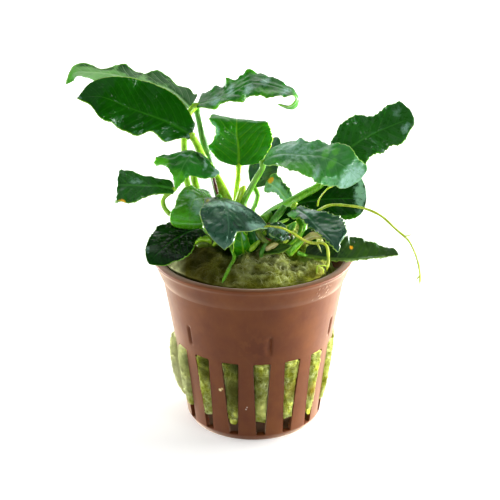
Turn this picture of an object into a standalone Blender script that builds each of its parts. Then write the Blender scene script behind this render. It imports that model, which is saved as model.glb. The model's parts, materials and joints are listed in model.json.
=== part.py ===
"""A small potted anubias: a water plant in a slotted net pot filled with rock wool.

Everything is measured in millimetres here and turned into metres where meshes are made.
The pot stands on z = 0 with its axis on the origin, and -Y is the side seen from the front.
Each leaf is a blade along a curved rib: half widths to its left and right give its outline,
and the face vector says which way its upper side looks. Stems and roots are tapered tubes.
Touching pieces keep a gap of about 0.3 mm.
"""
import math

import bmesh
import bpy
import numpy as np

MM = 0.001

# Net pot
POT_STEPS = 48
SLOT_COUNT = 16
SLOT_PHASE = 0.101
SLOT_BOTTOM_Z = 2.2
SLOT_TOP_Z = 25.3
SLOT_HALF_BOTTOM = 1.25
SLOT_HALF_TOP = 2.2
CUTTER_INNER = 15.0
CUTTER_OUTER = 25.0
MERGE = 0.0001
# Radius and height of the pot's outer side, from the lip down to the foot
POT_OUTER = [
    (27.2, 48.6),
    (27.5, 48.2),
    (26.9, 47.4),
    (26.8, 44.5),
    (24.9, 42.1),
    (22.1, 25.3),
    (19.0, 2.2),
    (17.8, 0.0),
]
# Radius and height of its inner side, from the floor up to the lip
POT_INNER = [
    (17.2, 1.2),
    (18.0, 2.2),
    (21.1, 25.3),
    (23.9, 42.1),
    (25.0, 48.6),
]

# Rock wool: it fills the pot, stands out of the slots and rises in a low dome over the rim
WOOL_GAP = 0.4
WOOL_BOTTOM_Z = 7.0
WOOL_RIM_Z = 48.3
WOOL_DOME = 3.8
WOOL_TOP_RADII = (24.6, 23.0, 19.5, 14.5, 8.0)
WOOL_SIDE_Z = (26.5, 36.0, 42.1)
WOOL_SLOT_Z = (7.0, 11.5, 16.0, 20.5, 25.0)
WOOL_STEP = 0.05
WOOL_PEAK = 0.2
BULGE = 0.5
BULGE_LEFT = 1.6
BULGE_RIGHT = 0.3

# Rhizome: the thick creeping stem that lies on the wool, with its radius at each point
RHIZOME = [
    (-15.3, -8.2, 55.0, 0.9),
    (-13.5, -8.0, 54.8, 1.7),
    (-9.0, -7.0, 55.2, 2.4),
    (-2.0, -6.5, 55.7, 3.0),
    (4.5, -6.5, 55.7, 3.0),
    (8.0, -7.0, 55.4, 2.5),
    (10.2, -7.3, 55.2, 1.3),
]

# Leaf blades
RIB_SAMPLES = 400
LEAF_THICK = 0.7
NARROWEST = 0.25
WAVE_SPREAD = 0.6
WAVE_EDGE = 2.2
BIG = (12, 4)
MIDDLE = (9, 4)
TINY = (6, 2)

LEAVES = {
    "leaf_01": dict(
        rib=[(-16.5, 8, 87.5), (-22, 10, 92), (-29, 12, 93.5), (-37.5, 13, 95.5),
             (-45.5, 12, 96.5), (-48.5, 11, 96), (-50, 9, 93.5)],
        face=[(0, 0.75, 0.66)], grid=BIG, waves=(3.5, 1.0, 0.28, 0.3),
        left=(3, 4, 4.5, 4, 4, 3, 1), right=(1.5, 4, 5.5, 6, 5.5, 3.5, 1)),
    "leaf_02": dict(
        rib=[(-16, -4, 83), (-22.5, -5, 87), (-31.5, -7, 91), (-38.5, -9, 94.5),
             (-44.5, -10, 94.5)],
        face=[(-0.15, -0.75, 0.65), (-0.2, -0.7, 0.7)], grid=BIG, waves=(3, 0.5, 0.1, 0.3),
        left=(2, 4.5, 4.2, 6.3, 5.8, 2.4, 0.8), right=(3.8, 6.3, 7.8, 8.6, 7.5, 4.8, 1.5)),
    "leaf_03": dict(
        rib=[(-15, 6, 88.5), (-10.5, 5, 90), (-6, 4, 92), (-0.5, 3, 95), (5, 2, 94.5),
             (10, 0, 92.5), (9.5, -1, 91), (6, -1.5, 91)],
        face=[(0, -0.25, 0.95), (0, -0.25, 0.95), (0, -0.25, 0.95), (0.9, -0.2, 0.3),
              (0, 0.25, -0.95)], grid=(16, 4), waves=(3.2, 0.4, 0.15, 0.3),
        left=(4.5, 4.7, 4.9, 7.1, 7.3, 4.3, 3.4, 1.5, 1.5),
        right=(0.5, 2.5, 3.7, 4.4, 7.4, 5.3, 4.4, 3, 1.2)),
    "leaf_04": dict(
        rib=[(-14, -1.5, 76.5), (-15.5, -5.5, 79), (-17, -9.5, 78), (-18.5, -12.5, 76),
             (-20, -13.5, 71.5)],
        face=[(0, -0.3, 0.95), (0, -0.95, 0.3)], grid=MIDDLE, waves=(2.5, 0.7, 0, 0.3),
        left=(4, 8, 7.5, 3, 1.2), right=(8, 10.5, 7, 3.5, 1.5), cup=(-5, -18)),
    "leaf_05": dict(
        rib=[(-4, 9, 70.5), (-4, 10, 75), (-4.5, 11, 79), (-4.5, 12, 82), (-4.5, 14.5, 82.5),
             (-4.5, 18, 80.5)],
        face=[(0, -0.95, 0.3), (0, -0.9, 0.4), (0, -0.6, 0.8), (0, 0.3, 0.9)], grid=BIG,
        waves=(2.5, 0.5, 0.1, 0.3), cup=(5, 5),
        left=(5, 6.5, 8.5, 6.5, 6, 4, 2), right=(5, 7.5, 9.5, 9.5, 8, 6, 2)),
    "leaf_06": dict(
        rib=[(-22, -6, 69), (-25, -7, 70), (-29.5, -8, 70.5), (-34, -9, 71), (-35, -7.5, 69.5),
             (-33.5, -5, 68), (-29.5, -4, 67)],
        face=[(0, -0.65, 0.75), (0, -0.65, 0.75), (-0.5, -0.4, 0.4), (-1, 0.1, 0.1),
              (0, 0.65, -0.75)], grid=(14, 4), waves=(2.5, 0.3, 0, 0.3),
        left=(1, 2, 2.7, 4.9, 4.2, 2, 0.8), right=(1, 1.3, 2.6, 4.2, 4.6, 3, 1)),
    "leaf_07": dict(
        rib=[(-10, -1, 62), (-12, -2.5, 65), (-15.3, -6, 66.2), (-16.3, -10.2, 64.8),
             (-16.5, -13.5, 62.6), (-16.5, -13, 60.2)],
        face=[(0, -0.2, 0.98), (0, -0.7, 0.7), (0, -0.98, 0.1)], grid=MIDDLE,
        waves=(2.5, 0.4, 0, 0.3), cup=(-5, -5), left=(2, 2.3, 2.8, 3, 2.5),
        right=(3, 4.5, 5, 5, 3.5)),
    "leaf_08": dict(
        rib=[(-9, -5, 66.5), (-7.5, -10, 66), (-6.5, -15, 63.5), (-6.5, -18.5, 60.5),
             (-7.5, -19.5, 57)],
        face=[(0, -0.6, 0.8), (0, -0.9, 0.4)], grid=BIG, waves=(2.5, 0.4, 0, 0.3),
        left=(4, 10, 12, 4.5, 2.5, 2.2, 1), right=(3.5, 5.5, 6.8, 8, 6.8, 4, 1.5),
        cup=(-25, 12), sweep=(30, 0)),
    "leaf_09": dict(
        rib=[(-13.8, -8.5, 58.8), (-16.5, -11, 59), (-21, -16, 58), (-24.5, -21, 56.5),
             (-26.5, -23, 54.5)],
        face=[(-0.2, -0.6, 0.8), (-0.3, -0.8, 0.5)], grid=BIG, waves=(3, 0.5, 0, 0.3),
        left=(2, 4, 5.5, 3.5, 1.2), right=(2.5, 6, 7.5, 8, 4.5)),
    "leaf_10": dict(
        rib=[(2.5, -3, 75.5), (6.5, -5, 78), (12, -7, 78.5), (18, -9, 78.5), (23.5, -11, 76.5),
             (27.5, -10, 72.5)],
        face=[(0, -0.5, 0.87), (0, -0.5, 0.87), (0.3, -0.6, 0.7)], grid=BIG,
        waves=(3, 0.7, 0, 0.3), left=(2, 4.5, 4.5, 5, 3), right=(1.5, 4.5, 6, 6, 3.5)),
    "leaf_11": dict(
        rib=[(22.5, 8, 72.5), (26.5, 8, 76), (31, 8, 79), (36.5, 7, 82), (43, 6, 85)],
        face=[(-0.1, -0.75, 0.65), (0, -0.75, 0.65)], grid=BIG, waves=(3, 0.6, 0, 0.3),
        left=(2.5, 6.5, 6.5, 6, 4.5), right=(2, 5, 5.5, 5, 3.5)),
    "leaf_12": dict(
        rib=[(10, 9, 59), (14.5, 8, 60.5), (19.5, 7, 61.5), (25, 6, 62), (31, 5, 62.5)],
        face=[(0, -0.8, 0.6), (0.2, -0.8, 0.6)], grid=MIDDLE, waves=(3, 0.6, 0, 0.3),
        left=(2, 4, 5.5, 6, 4), right=(1.5, 2.5, 4, 6, 4), cup=(5, 5)),
    "leaf_13": dict(
        rib=[(0, 17, 62), (2.5, 18, 66), (4.5, 19, 70.5), (7, 20, 75.5)],
        face=[(0, -0.9, 0.4)], grid=MIDDLE, waves=(2.5, 0.6, 0, 0.3), cup=(15, 15),
        left=(2, 4, 4, 3, 1.5), right=(2, 4, 4, 3, 1.5)),
    "leaf_14": dict(
        rib=[(10, 12, 59), (8.5, 13, 61.5), (6.5, 13.3, 64.3), (4.5, 13.5, 66)],
        face=[(-0.2, 0.6, 0.8)], grid=(6, 4), waves=(2.5, 0.3, 0, 0.3), cup=(15, 15),
        left=(1, 2.5, 3, 2.6, 1), right=(1, 2.5, 3, 2, 1)),
    "leaf_15": dict(
        rib=[(11, -2, 62), (14, -6, 61.5), (17, -10, 59.5), (20, -14, 57.5), (22, -16, 55)],
        face=[(0.1, -0.6, 0.8), (0.3, -0.85, 0.45)], grid=MIDDLE, waves=(3, 0.5, 0, 0.3),
        left=(2, 3.5, 6, 6.5, 2), right=(2.5, 2.5, 2, 1.5, 1)),
    "leaf_16": dict(
        rib=[(13.5, -12, 52.5), (20, -12, 51.5), (27, -11, 51), (33.5, -9, 50.5),
             (38.5, -8, 50.5)],
        face=[(0, -0.75, 0.66)], grid=MIDDLE, waves=(3, 0.4, 0, 0.3), cup=(0, -30),
        left=(2, 4.5, 6.5, 4, 1.5), right=(0.5, 1.2, 1.5, 1.2, 0.5)),
    "leaf_17": dict(
        rib=[(3.5, -10, 57), (5.5, -12, 60), (7, -13.5, 59.5), (8.5, -14, 57.5)],
        face=[(0, -0.7, 0.7)], grid=TINY, waves=(2, 0.5, 0, 0.3), cup=(10, 10),
        left=(1, 2, 2, 2, 1), right=(1, 2, 2.5, 2, 1)),
    "leaf_18": dict(
        rib=[(2.5, -10.5, 53.5), (5, -12.5, 54), (8, -13, 55), (10, -13, 55.5)],
        face=[(0, -0.5, 0.8)], grid=TINY, waves=(2, 0.2, 0, 0.3), cup=(10, 10),
        left=(1, 1.7, 1.7, 1.3, 0.7), right=(1, 1.7, 1.7, 1.3, 0.7)),
    "leaf_19": dict(
        rib=[(15.4, -9.4, 54.6), (15.6, -9.8, 55.9), (16, -10.2, 57), (16.8, -10.6, 57.2)],
        face=[(0, -0.8, 0.6)], grid=TINY, waves=(2, 0.2, 0, 0.3), cup=(10, 10),
        left=(0.8, 1.5, 1.6, 1.3, 0.8), right=(0.8, 1.5, 1.6, 1.3, 0.8)),
    "leaf_20": dict(
        rib=[(14.4, -12.2, 55.2), (15.9, -12.7, 56.1), (17.2, -12.9, 56.2), (18.2, -12.9, 55.5)],
        face=[(0, -0.7, 0.7)], grid=TINY, waves=(2, 0.1, 0, 0.3),
        left=(0.5, 0.8, 0.9, 0.8, 0.5), right=(0.4, 0.6, 0.7, 0.6, 0.4)),
    "sheath_01": dict(
        rib=[(-3, -10.5, 52.5), (-2.5, -12, 55.5), (-2.5, -12.5, 58), (-3.5, -12, 60)],
        face=[(0, -0.95, 0.3)], grid=TINY, waves=(2, 0, 0, 0.3), cup=(-20, -20),
        left=(1.8, 2.3, 2, 1.3, 0.6), right=(1.8, 2.3, 2, 1.3, 0.6)),
}

# Leaf stalks from the blade down to the rhizome or the wool, with the diameter at each end
STEMS = {
    "stem_01": ([(-16.1, 7.8, 87.1), (-15, 7, 86.5), (-13.5, 6, 79), (-12, 5.5, 73.4),
                 (-10.5, 5, 68.2), (-9, 3.6, 62.6), (-6.6, -0.6, 57.6), (-6, -3.1, 56.9)],
                1.7, 2.4),
    "stem_02": ([(-15.3, -3.5, 82.2), (-14.8, -1, 79.5), (-12.9, 1.6, 75), (-11, 1.2, 70.8),
                 (-8.5, -1, 66), (-5.6, -5, 61), (-5, -6.1, 58.9)], 1.6, 3.0),
    "stem_03": ([(-16, 6.1, 87.9), (-16.8, 4.5, 87), (-18, 3, 84), (-18.5, 3.5, 79.5),
                 (-18.5, 4, 76), (-18, 4.6, 67.5), (-15.2, 5.2, 62), (-9.5, -0.5, 56.5),
                 (-9, -3.7, 55.6)], 1.5, 2.0),
    "stem_04": ([(-14, -1.1, 75.3), (-15, 0, 73), (-16, 1.8, 70), (-15, 2.8, 65),
                 (-13, -1, 58.5), (-12.3, -4.8, 56.2)], 1.8, 2.0),
    "stem_05": ([(-4, 8.7, 69.5), (-4, 8, 68.2), (-4.5, 6, 64.5), (-4.5, 3, 61.5),
                 (-2, -2.5, 59.2), (-2, -4, 58.3)], 1.2, 1.9),
    "stem_06": ([(-22, -5, 67.7), (-23.6, -4.6, 66.2), (-24, -4.5, 64.5), (-23, -4, 62),
                 (-19.5, -3.5, 58.5), (-16.4, -4.8, 56.8), (-14.9, -5.9, 56.2)], 1.2, 1.4),
    "stem_07": ([(-9.8, -0.6, 61), (-9.8, -2.2, 59.5), (-9.8, -5.4, 57.6)], 1.5, 1.6),
    "stem_08": ([(-9.2, -4.4, 65.7), (-9.2, -4.6, 62.5), (-8.4, -6.6, 60), (-8, -7.1, 58.6)],
                1.6, 1.9),
    "stem_09": ([(-13.2, -8.2, 58.1), (-12.8, -8, 57.3)], 1.0, 1.0),
    "stem_10": ([(2, -2.6, 75), (2.3, -2.9, 73.5), (0, -3, 69.5), (-2, -3.5, 65),
                 (-2.6, -5.5, 61.8), (-0.8, -6.8, 59.5)], 1.5, 1.9),
    "stem_11": ([(21.9, 8, 71.8), (18.5, 7, 66), (14, 6, 63.5), (9.5, 4, 61.5), (6, 0.8, 60.6),
                 (4.3, -3, 60), (4, -4.4, 59.7)], 1.7, 2.6),
    "stem_12": ([(9.1, 8.7, 58.4), (8, 2, 58.4), (7, -4.2, 58.1)], 1.4, 1.6),
    "stem_13": ([(-0.4, 16.8, 61), (1.5, 14, 60), (1, 10, 58.5), (0, 5, 57.5),
                 (1.5, -1, 56.4), (1.5, -3, 56.3)], 1.2, 1.4),
    "stem_14": ([(9.5, 11.2, 58.2), (7, 9.5, 57.2), (5.4, 5, 57), (4.8, -1, 56.6), (4.8, -3, 56.3)],
                1.2, 1.4),
    "stem_15": ([(10.3, -0.8, 60.8), (12.2, -2.6, 59.3), (13.2, -5, 58.3), (12.8, -7.4, 56.8),
                 (11, -9.8, 54.8), (8.6, -11, 52.9)], 1.6, 2.4),
    "stem_16": ([(12.8, -12, 53), (11.6, -12.2, 53.2)], 1.0, 1.0),
}

# A pointed bud and the stub of an old stalk
STUBS = {
    "bud_01": ([(-2.6, -1.2, 68), (-3.3, -1.2, 66), (-3.9, -1.4, 63.8), (-4.1, -1.8, 62.2)],
               0.7, 1.8),
    "stub_01": ([(0.4, -10.4, 58.6), (2.1, -11, 57), (3.6, -11.6, 55.2)], 2.2, 1.2),
}

# Roots, with the diameter at the plant and at the tip
ROOTS = {
    "root_01": ([(8.9, -4.7, 57), (10.5, -2.2, 57.5), (15, -1, 58.5), (17.5, -2, 61.5),
                 (20.5, -5, 64), (24, -8, 65), (28, -11, 65.5), (33, -13, 64.5),
                 (37, -14, 61.5), (40.5, -15, 58.5), (42.5, -15, 53.5), (43.5, -15, 49),
                 (43.5, -15, 45)], 1.0, 0.6),
    "root_02": ([(1.9, -12.3, 59), (3, -14, 59.8), (4.4, -15.3, 60.4), (6.5, -15.5, 60.7),
                 (12, -15.5, 59),
                 (15, -15.5, 57), (18, -15.8, 57.5), (19.5, -16, 55.5), (19.5, -16, 52),
                 (19, -15.5, 49.7)], 0.7, 1.0),
    "root_03": ([(17.1, -3.4, 63.2), (17.6, -4, 65.5), (19.5, -5, 68.5), (21, -6, 69.5)],
                0.5, 0.4),
    "root_04": ([(-5.9, -10.3, 54.8), (-5.6, -12, 54), (-5, -15, 53), (-6, -18, 52),
                 (-7, -21.5, 51), (-8, -23.5, 49.5)], 0.9, 0.9),
}
TUBE_SEGMENT = 4.5
TUBE_MIN_SEGMENTS = 4
STEM_ROUNDNESS = 2
ROOT_ROUNDNESS = 1
RHIZOME_ROUNDNESS = 3


def clear_scene():
    for item in list(bpy.data.objects):
        bpy.data.objects.remove(item)


def collection(name):
    group = bpy.data.collections.new(name)
    bpy.context.scene.collection.children.link(group)
    return group


def material(name, colour, roughness):
    mat = bpy.data.materials.new(name)
    mat.use_nodes = True
    shader = mat.node_tree.nodes["Principled BSDF"]
    shader.inputs["Base Color"].default_value = (*colour, 1)
    shader.inputs["Roughness"].default_value = roughness
    return mat


def add_object(group, name, data, mat):
    item = bpy.data.objects.new(name, data)
    item.data.materials.append(mat)
    group.objects.link(item)
    return item


def smooth_curve(points, t):
    """Catmull-Rom curve through the points, for t from 0 to 1."""
    p = np.asarray(points, float)
    if p.ndim == 1:
        p = p[:, None]
    last = len(p) - 1
    ends = np.vstack([2 * p[0] - p[1], p, 2 * p[-1] - p[-2]])
    x = np.clip(np.asarray(t, float), 0, 1) * last
    i = np.minimum(x.astype(int), last - 1)
    f = (x - i)[:, None]
    a, b, c, d = ends[i], ends[i + 1], ends[i + 2], ends[i + 3]
    cubic = 3 * b - a - 3 * c + d
    return 0.5 * (2 * b + (c - a) * f + (2 * a - 5 * b + 4 * c - d) * f**2 + cubic * f**3)


def even_points(points, steps):
    """Equally spaced points along the smooth curve."""
    fine = smooth_curve(points, np.linspace(0, 1, RIB_SAMPLES))
    run = np.concatenate([[0], np.cumsum(np.linalg.norm(np.diff(fine, axis=0), axis=1))])
    wanted = np.linspace(0, run[-1], steps + 1)
    return np.stack([np.interp(wanted, run, fine[:, k]) for k in range(fine.shape[1])], axis=1)


def unit(v):
    return v / np.linalg.norm(v, axis=-1, keepdims=True)


def half_width(stations, u):
    """Half width at u, closing to a point at the base and at the tip of the blade."""
    tau = np.arccos(1 - 2 * u) / math.pi
    width = smooth_curve([0.0, *stations, 0.0], tau)[:, 0]
    return np.maximum(width, NARROWEST)


def blade_point(leaf, u, v):
    """Points of the blade in mm: u runs from base to tip, v from left to right edge."""
    rows = leaf["grid"][0]
    rib = even_points(leaf["rib"], rows)
    along = unit(np.gradient(rib, axis=0))
    faces = leaf["face"] * 2 if len(leaf["face"]) == 1 else leaf["face"]
    face = smooth_curve(faces, np.linspace(0, 1, rows + 1))
    normal = unit(face - (face * along).sum(1, keepdims=True) * along)
    side = np.cross(along, normal)
    row = np.rint(u * rows).astype(int)
    is_left = v < 0
    width = np.where(is_left, half_width(leaf["left"], u), half_width(leaf["right"], u))
    cup = np.radians(np.where(is_left, *leaf.get("cup", (0, 0))))
    sweep = np.tan(np.radians(np.where(is_left, *leaf.get("sweep", (0, 0)))))
    count, height, left_phase, right_phase = leaf["waves"]
    phase = np.where(is_left, left_phase, right_phase)
    wave = height * np.sin(math.pi * u) ** WAVE_SPREAD * np.abs(v) ** WAVE_EDGE
    lift = np.abs(v) * width * np.sin(cup)
    lift += wave * np.sin(2 * math.pi * (count * u + phase))
    across = v * width * np.cos(cup)
    point = rib[row] + side[row] * across[:, None] + normal[row] * lift[:, None]
    return point + along[row] * (np.abs(across) * sweep)[:, None]


def leaf_blade(group, name, leaf, mat):
    rows, cols = leaf["grid"]
    bm = bmesh.new()
    bmesh.ops.create_grid(bm, x_segments=rows, y_segments=cols, size=1)
    flat = np.array([vert.co[:2] for vert in bm.verts])
    points = blade_point(leaf, (flat[:, 0] + 1) / 2, flat[:, 1]) * MM
    for vert, point in zip(bm.verts, points):
        vert.co = point
    mesh = bpy.data.meshes.new(name)
    bm.to_mesh(mesh)
    bm.free()
    blade = add_object(group, name, mesh, mat)
    mesh.shade_smooth()
    solid = blade.modifiers.new("thickness", "SOLIDIFY")
    solid.thickness = LEAF_THICK * MM
    solid.offset = 0
    return blade


def tube(group, name, points, radii, roundness, mat):
    """Round tube through the points in mm, with filled ends."""
    curve = bpy.data.curves.new(name, "CURVE")
    curve.dimensions = "3D"
    curve.bevel_depth = MM
    curve.bevel_resolution = roundness
    curve.use_fill_caps = True
    spline = curve.splines.new("POLY")
    spline.points.add(len(points) - 1)
    for target, point, radius in zip(spline.points, points, radii):
        target.co = (*(np.asarray(point) * MM), 1)
        target.radius = radius
    spline.use_smooth = True
    return add_object(group, name, curve, mat)


def tapered_tube(group, name, spec, roundness, mat):
    points, start, end = spec
    length = np.linalg.norm(np.diff(np.array(points, float), axis=0), axis=1).sum()
    steps = max(TUBE_MIN_SEGMENTS, round(length / TUBE_SEGMENT))
    path = even_points(points, steps)
    radii = np.linspace(start / 2, end / 2, steps + 1)
    return tube(group, name, path, radii, roundness, mat)


def slot_cutters(group):
    """Sixteen tapered blocks standing in a ring through the pot wall."""
    bm = bmesh.new()
    for k in range(SLOT_COUNT):
        turn = SLOT_PHASE + 2 * math.pi * k / SLOT_COUNT
        block = bmesh.ops.create_cube(bm, size=1)["verts"]
        for vert in block:
            top = vert.co.z > 0
            half = SLOT_HALF_TOP if top else SLOT_HALF_BOTTOM
            x = math.copysign(half, vert.co.x)
            y = -(CUTTER_OUTER if vert.co.y < 0 else CUTTER_INNER)
            z = SLOT_TOP_Z if top else SLOT_BOTTOM_Z
            vert.co.x = (x * math.cos(turn) - y * math.sin(turn)) * MM
            vert.co.y = (x * math.sin(turn) + y * math.cos(turn)) * MM
            vert.co.z = z * MM
    mesh = bpy.data.meshes.new("slot_cutters")
    bm.to_mesh(mesh)
    bm.free()
    cutter = bpy.data.objects.new("slot_cutters", mesh)
    group.objects.link(cutter)
    cutter.hide_render = True
    cutter.display_type = "WIRE"
    return cutter


def net_pot(group, cutters, mat):
    floor_z = POT_INNER[0][1]
    profile = [(0, floor_z), *POT_INNER, *POT_OUTER, (0, 0)]
    bm = bmesh.new()
    verts = []
    for radius, height in profile:
        x = radius * math.sin(SLOT_PHASE) * MM
        y = -radius * math.cos(SLOT_PHASE) * MM
        verts.append(bm.verts.new((x, y, height * MM)))
    for first, second in zip(verts, verts[1:]):
        bm.edges.new((first, second))
    mesh = bpy.data.meshes.new("net_pot")
    bm.to_mesh(mesh)
    bm.free()
    pot = add_object(group, "net_pot", mesh, mat)
    spin = pot.modifiers.new("spin", "SCREW")
    spin.steps = POT_STEPS
    spin.render_steps = POT_STEPS
    spin.use_merge_vertices = True
    spin.merge_threshold = MERGE
    spin.use_smooth_shade = True
    cut = pot.modifiers.new("slots", "BOOLEAN")
    cut.operation = "DIFFERENCE"
    cut.solver = "EXACT"
    cut.object = cutters
    return pot


def wall_radius(z, side):
    """Radius at this height on one side of the pot's profile."""
    heights = [height for radius, height in side]
    radii = [radius for radius, height in side]
    if heights[0] > heights[-1]:
        heights, radii = heights[::-1], radii[::-1]
    return float(np.interp(z, heights, radii))


def bulge(angle, z):
    """How far the wool stands out of a slot at this height, more on the two sides."""
    left = max(0.0, -math.sin(angle)) ** 4
    right = max(0.0, math.sin(angle)) ** 4
    swell = math.sin(math.pi * (z - WOOL_BOTTOM_Z) / (SLOT_TOP_Z - WOOL_BOTTOM_Z)) ** 0.5
    return (BULGE + BULGE_LEFT * left + BULGE_RIGHT * right) * max(0.0, swell)


def wool_columns():
    """Slot centre, side of it, and whether the column lies inside the slot, for each column."""
    columns = []
    for k in range(SLOT_COUNT):
        centre = SLOT_PHASE + 2 * math.pi * k / SLOT_COUNT
        for side, inside in ((-1, False), (-1, True), (1, True), (1, False)):
            columns.append((centre, side, inside))
    return columns


def slot_half(z):
    share = (z - SLOT_BOTTOM_Z) / (SLOT_TOP_Z - SLOT_BOTTOM_Z)
    return SLOT_HALF_BOTTOM + (SLOT_HALF_TOP - SLOT_HALF_BOTTOM) * share


def wool_ring(z, in_slots):
    """One level of the wool's side: round inside the wall, with a lobe in every slot."""
    ring = []
    inner = wall_radius(z, POT_INNER) - WOOL_GAP
    half = slot_half(min(z, SLOT_TOP_Z)) - WOOL_GAP
    for centre, side, inside in wool_columns():
        radius = inner
        if inside and in_slots:
            radius = wall_radius(z, POT_OUTER) + bulge(centre, z)
        angle = centre + side * math.asin(half / radius)
        if not inside:
            angle = centre + side * math.asin((half + WOOL_STEP) / radius)
        ring.append((radius * math.sin(angle), -radius * math.cos(angle), z))
    return ring


def wool_top(radius):
    """One ring of the wool's domed top."""
    z = WOOL_RIM_Z + WOOL_DOME * (1 - (radius / WOOL_TOP_RADII[0]) ** 3)
    half = slot_half(SLOT_TOP_Z) - WOOL_GAP
    ring = []
    for centre, side, inside in wool_columns():
        spread = half if inside else half + WOOL_STEP
        angle = centre + side * math.asin(spread / wall_radius(SLOT_TOP_Z, POT_INNER))
        ring.append((radius * math.sin(angle), -radius * math.cos(angle), z))
    return ring


def loft(group, name, rings, mat):
    """Closed skin over rings of equal point count, with a point cap at each end."""
    count = len(rings[0])
    verts = [point for ring in rings for point in ring]
    faces = []
    for level in range(len(rings) - 1):
        low, high = level * count, (level + 1) * count
        for k in range(count):
            after = (k + 1) % count
            faces.append((low + k, low + after, high + after, high + k))
    for ring, order in ((0, -1), (len(rings) - 1, 1)):
        middle = len(verts)
        verts.append((0, 0, rings[ring][0][2] + (WOOL_PEAK if order > 0 else 0)))
        for k in range(count):
            a, b = ring * count + k, ring * count + (k + 1) % count
            faces.append((a, b, middle) if order > 0 else (b, a, middle))
    mesh = bpy.data.meshes.new(name)
    mesh.from_pydata([tuple(c * MM for c in point) for point in verts], [], faces)
    mesh.shade_smooth()
    return add_object(group, name, mesh, mat)


def rock_wool(group, mat):
    rings = [wool_ring(z, True) for z in WOOL_SLOT_Z]
    rings.append(wool_ring(WOOL_SLOT_Z[-1] + WOOL_STEP, False))
    rings += [wool_ring(z, False) for z in WOOL_SIDE_Z]
    rings += [wool_top(radius) for radius in WOOL_TOP_RADII]
    return loft(group, "rock_wool", rings, mat)


def main():
    clear_scene()
    plant = collection("potted_anubias")
    cutting = collection("cutters")
    brown = material("pot_brown", (0.30, 0.15, 0.085), 0.45)
    wool = material("wool_green", (0.33, 0.35, 0.10), 0.95)
    green = material("leaf_green", (0.020, 0.125, 0.012), 0.25)
    lime = material("stem_lime", (0.24, 0.42, 0.02), 0.35)
    pale = material("root_yellow", (0.55, 0.60, 0.08), 0.45)
    crown = material("rhizome_green", (0.20, 0.32, 0.03), 0.45)
    net_pot(plant, slot_cutters(cutting), brown)
    rock_wool(plant, wool)
    tube(plant, "rhizome", [p[:3] for p in RHIZOME], [p[3] for p in RHIZOME],
         RHIZOME_ROUNDNESS, crown)
    for name, leaf in LEAVES.items():
        leaf_blade(plant, name, leaf, lime if name.startswith("sheath") else green)
    for name, spec in {**STEMS, **STUBS}.items():
        tapered_tube(plant, name, spec, STEM_ROUNDNESS, lime)
    for name, spec in ROOTS.items():
        tapered_tube(plant, name, spec, ROOT_ROUNDNESS, pale)


main()
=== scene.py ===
"""The potted anubias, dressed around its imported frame.

Each leaf is a closed blade on a two-parameter grid: u runs along the rib from base to tip and
v from the left edge to the right. Its outline comes from half widths at stations along the rib,
and its relief from the midrib, the side veins and the waves of the margin. Stalks and roots are
tubes carried along smooth paths, the pot is a profile turned around its axis with slots left
open, and the rock wool is a lumpy skin under many fine fibres. Lengths are in millimetres until
a mesh is made. -Y is the side that the photograph shows.
"""
import json
import math

import bpy
import numpy as np
from mathutils import Matrix

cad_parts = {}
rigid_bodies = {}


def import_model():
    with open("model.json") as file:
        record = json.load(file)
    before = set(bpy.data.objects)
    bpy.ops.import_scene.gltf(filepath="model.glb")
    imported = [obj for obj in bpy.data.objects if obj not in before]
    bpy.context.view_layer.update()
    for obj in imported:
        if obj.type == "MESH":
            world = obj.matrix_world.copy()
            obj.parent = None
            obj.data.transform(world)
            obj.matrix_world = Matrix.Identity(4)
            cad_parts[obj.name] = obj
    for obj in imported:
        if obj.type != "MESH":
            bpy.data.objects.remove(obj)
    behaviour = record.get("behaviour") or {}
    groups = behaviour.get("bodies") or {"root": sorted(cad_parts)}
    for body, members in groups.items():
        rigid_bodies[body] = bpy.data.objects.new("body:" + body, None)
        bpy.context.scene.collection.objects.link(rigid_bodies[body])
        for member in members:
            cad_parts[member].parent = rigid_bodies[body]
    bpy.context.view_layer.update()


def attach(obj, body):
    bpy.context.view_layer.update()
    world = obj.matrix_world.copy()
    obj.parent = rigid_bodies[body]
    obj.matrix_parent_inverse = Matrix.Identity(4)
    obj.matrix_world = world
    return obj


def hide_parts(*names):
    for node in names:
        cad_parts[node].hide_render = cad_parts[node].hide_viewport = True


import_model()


# Camera
# The picture was taken with a longish lens from about 36 cm away, looking down a little over
# 21 degrees on the pot's rim.
MM = 0.001
SENSOR = 36.0
FOCAL_PIXELS = 1220.0
FRAME_PIXELS = 500.0
CAMERA_PLACE = (0.0, -311.0, 171.0)
CAMERA_PITCH = 0.373
CAMERA_YAW = 0.003
CAMERA_ROLL = -0.003

lens = bpy.data.cameras.new("camera")
lens.sensor_width = SENSOR
lens.lens = FOCAL_PIXELS / FRAME_PIXELS * SENSOR
camera = bpy.data.objects.new("camera", lens)
bpy.context.scene.collection.objects.link(camera)
camera.matrix_world = (
    Matrix.Translation([c * MM for c in CAMERA_PLACE])
    @ Matrix.Rotation(CAMERA_YAW, 4, "Z")
    @ Matrix.Rotation(math.pi / 2 - CAMERA_PITCH, 4, "X")
    @ Matrix.Rotation(CAMERA_ROLL, 4, "Z")
)
bpy.context.scene.camera = camera


# Net pot
# A thin moulded pot of terracotta-brown polypropylene with a rolled rim, sixteen tapered slots
# and a few short stacking grooves above them. It comes out of its mould in one piece.
SLOTS = 16
POT_STEP = 2 * math.pi / SLOTS
POT_PHASE = 0.101
SLOT_LOW = 2.2
SLOT_HIGH = 25.3
SLOT_HALF_LOW = 1.25
SLOT_HALF_HIGH = 2.4
SLOT_CORNER = 0.45
SLOT_COLUMNS = 4
RIB_COLUMNS = 12
POT_WALL = 1.1
POT_BEVEL = 0.16
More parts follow.
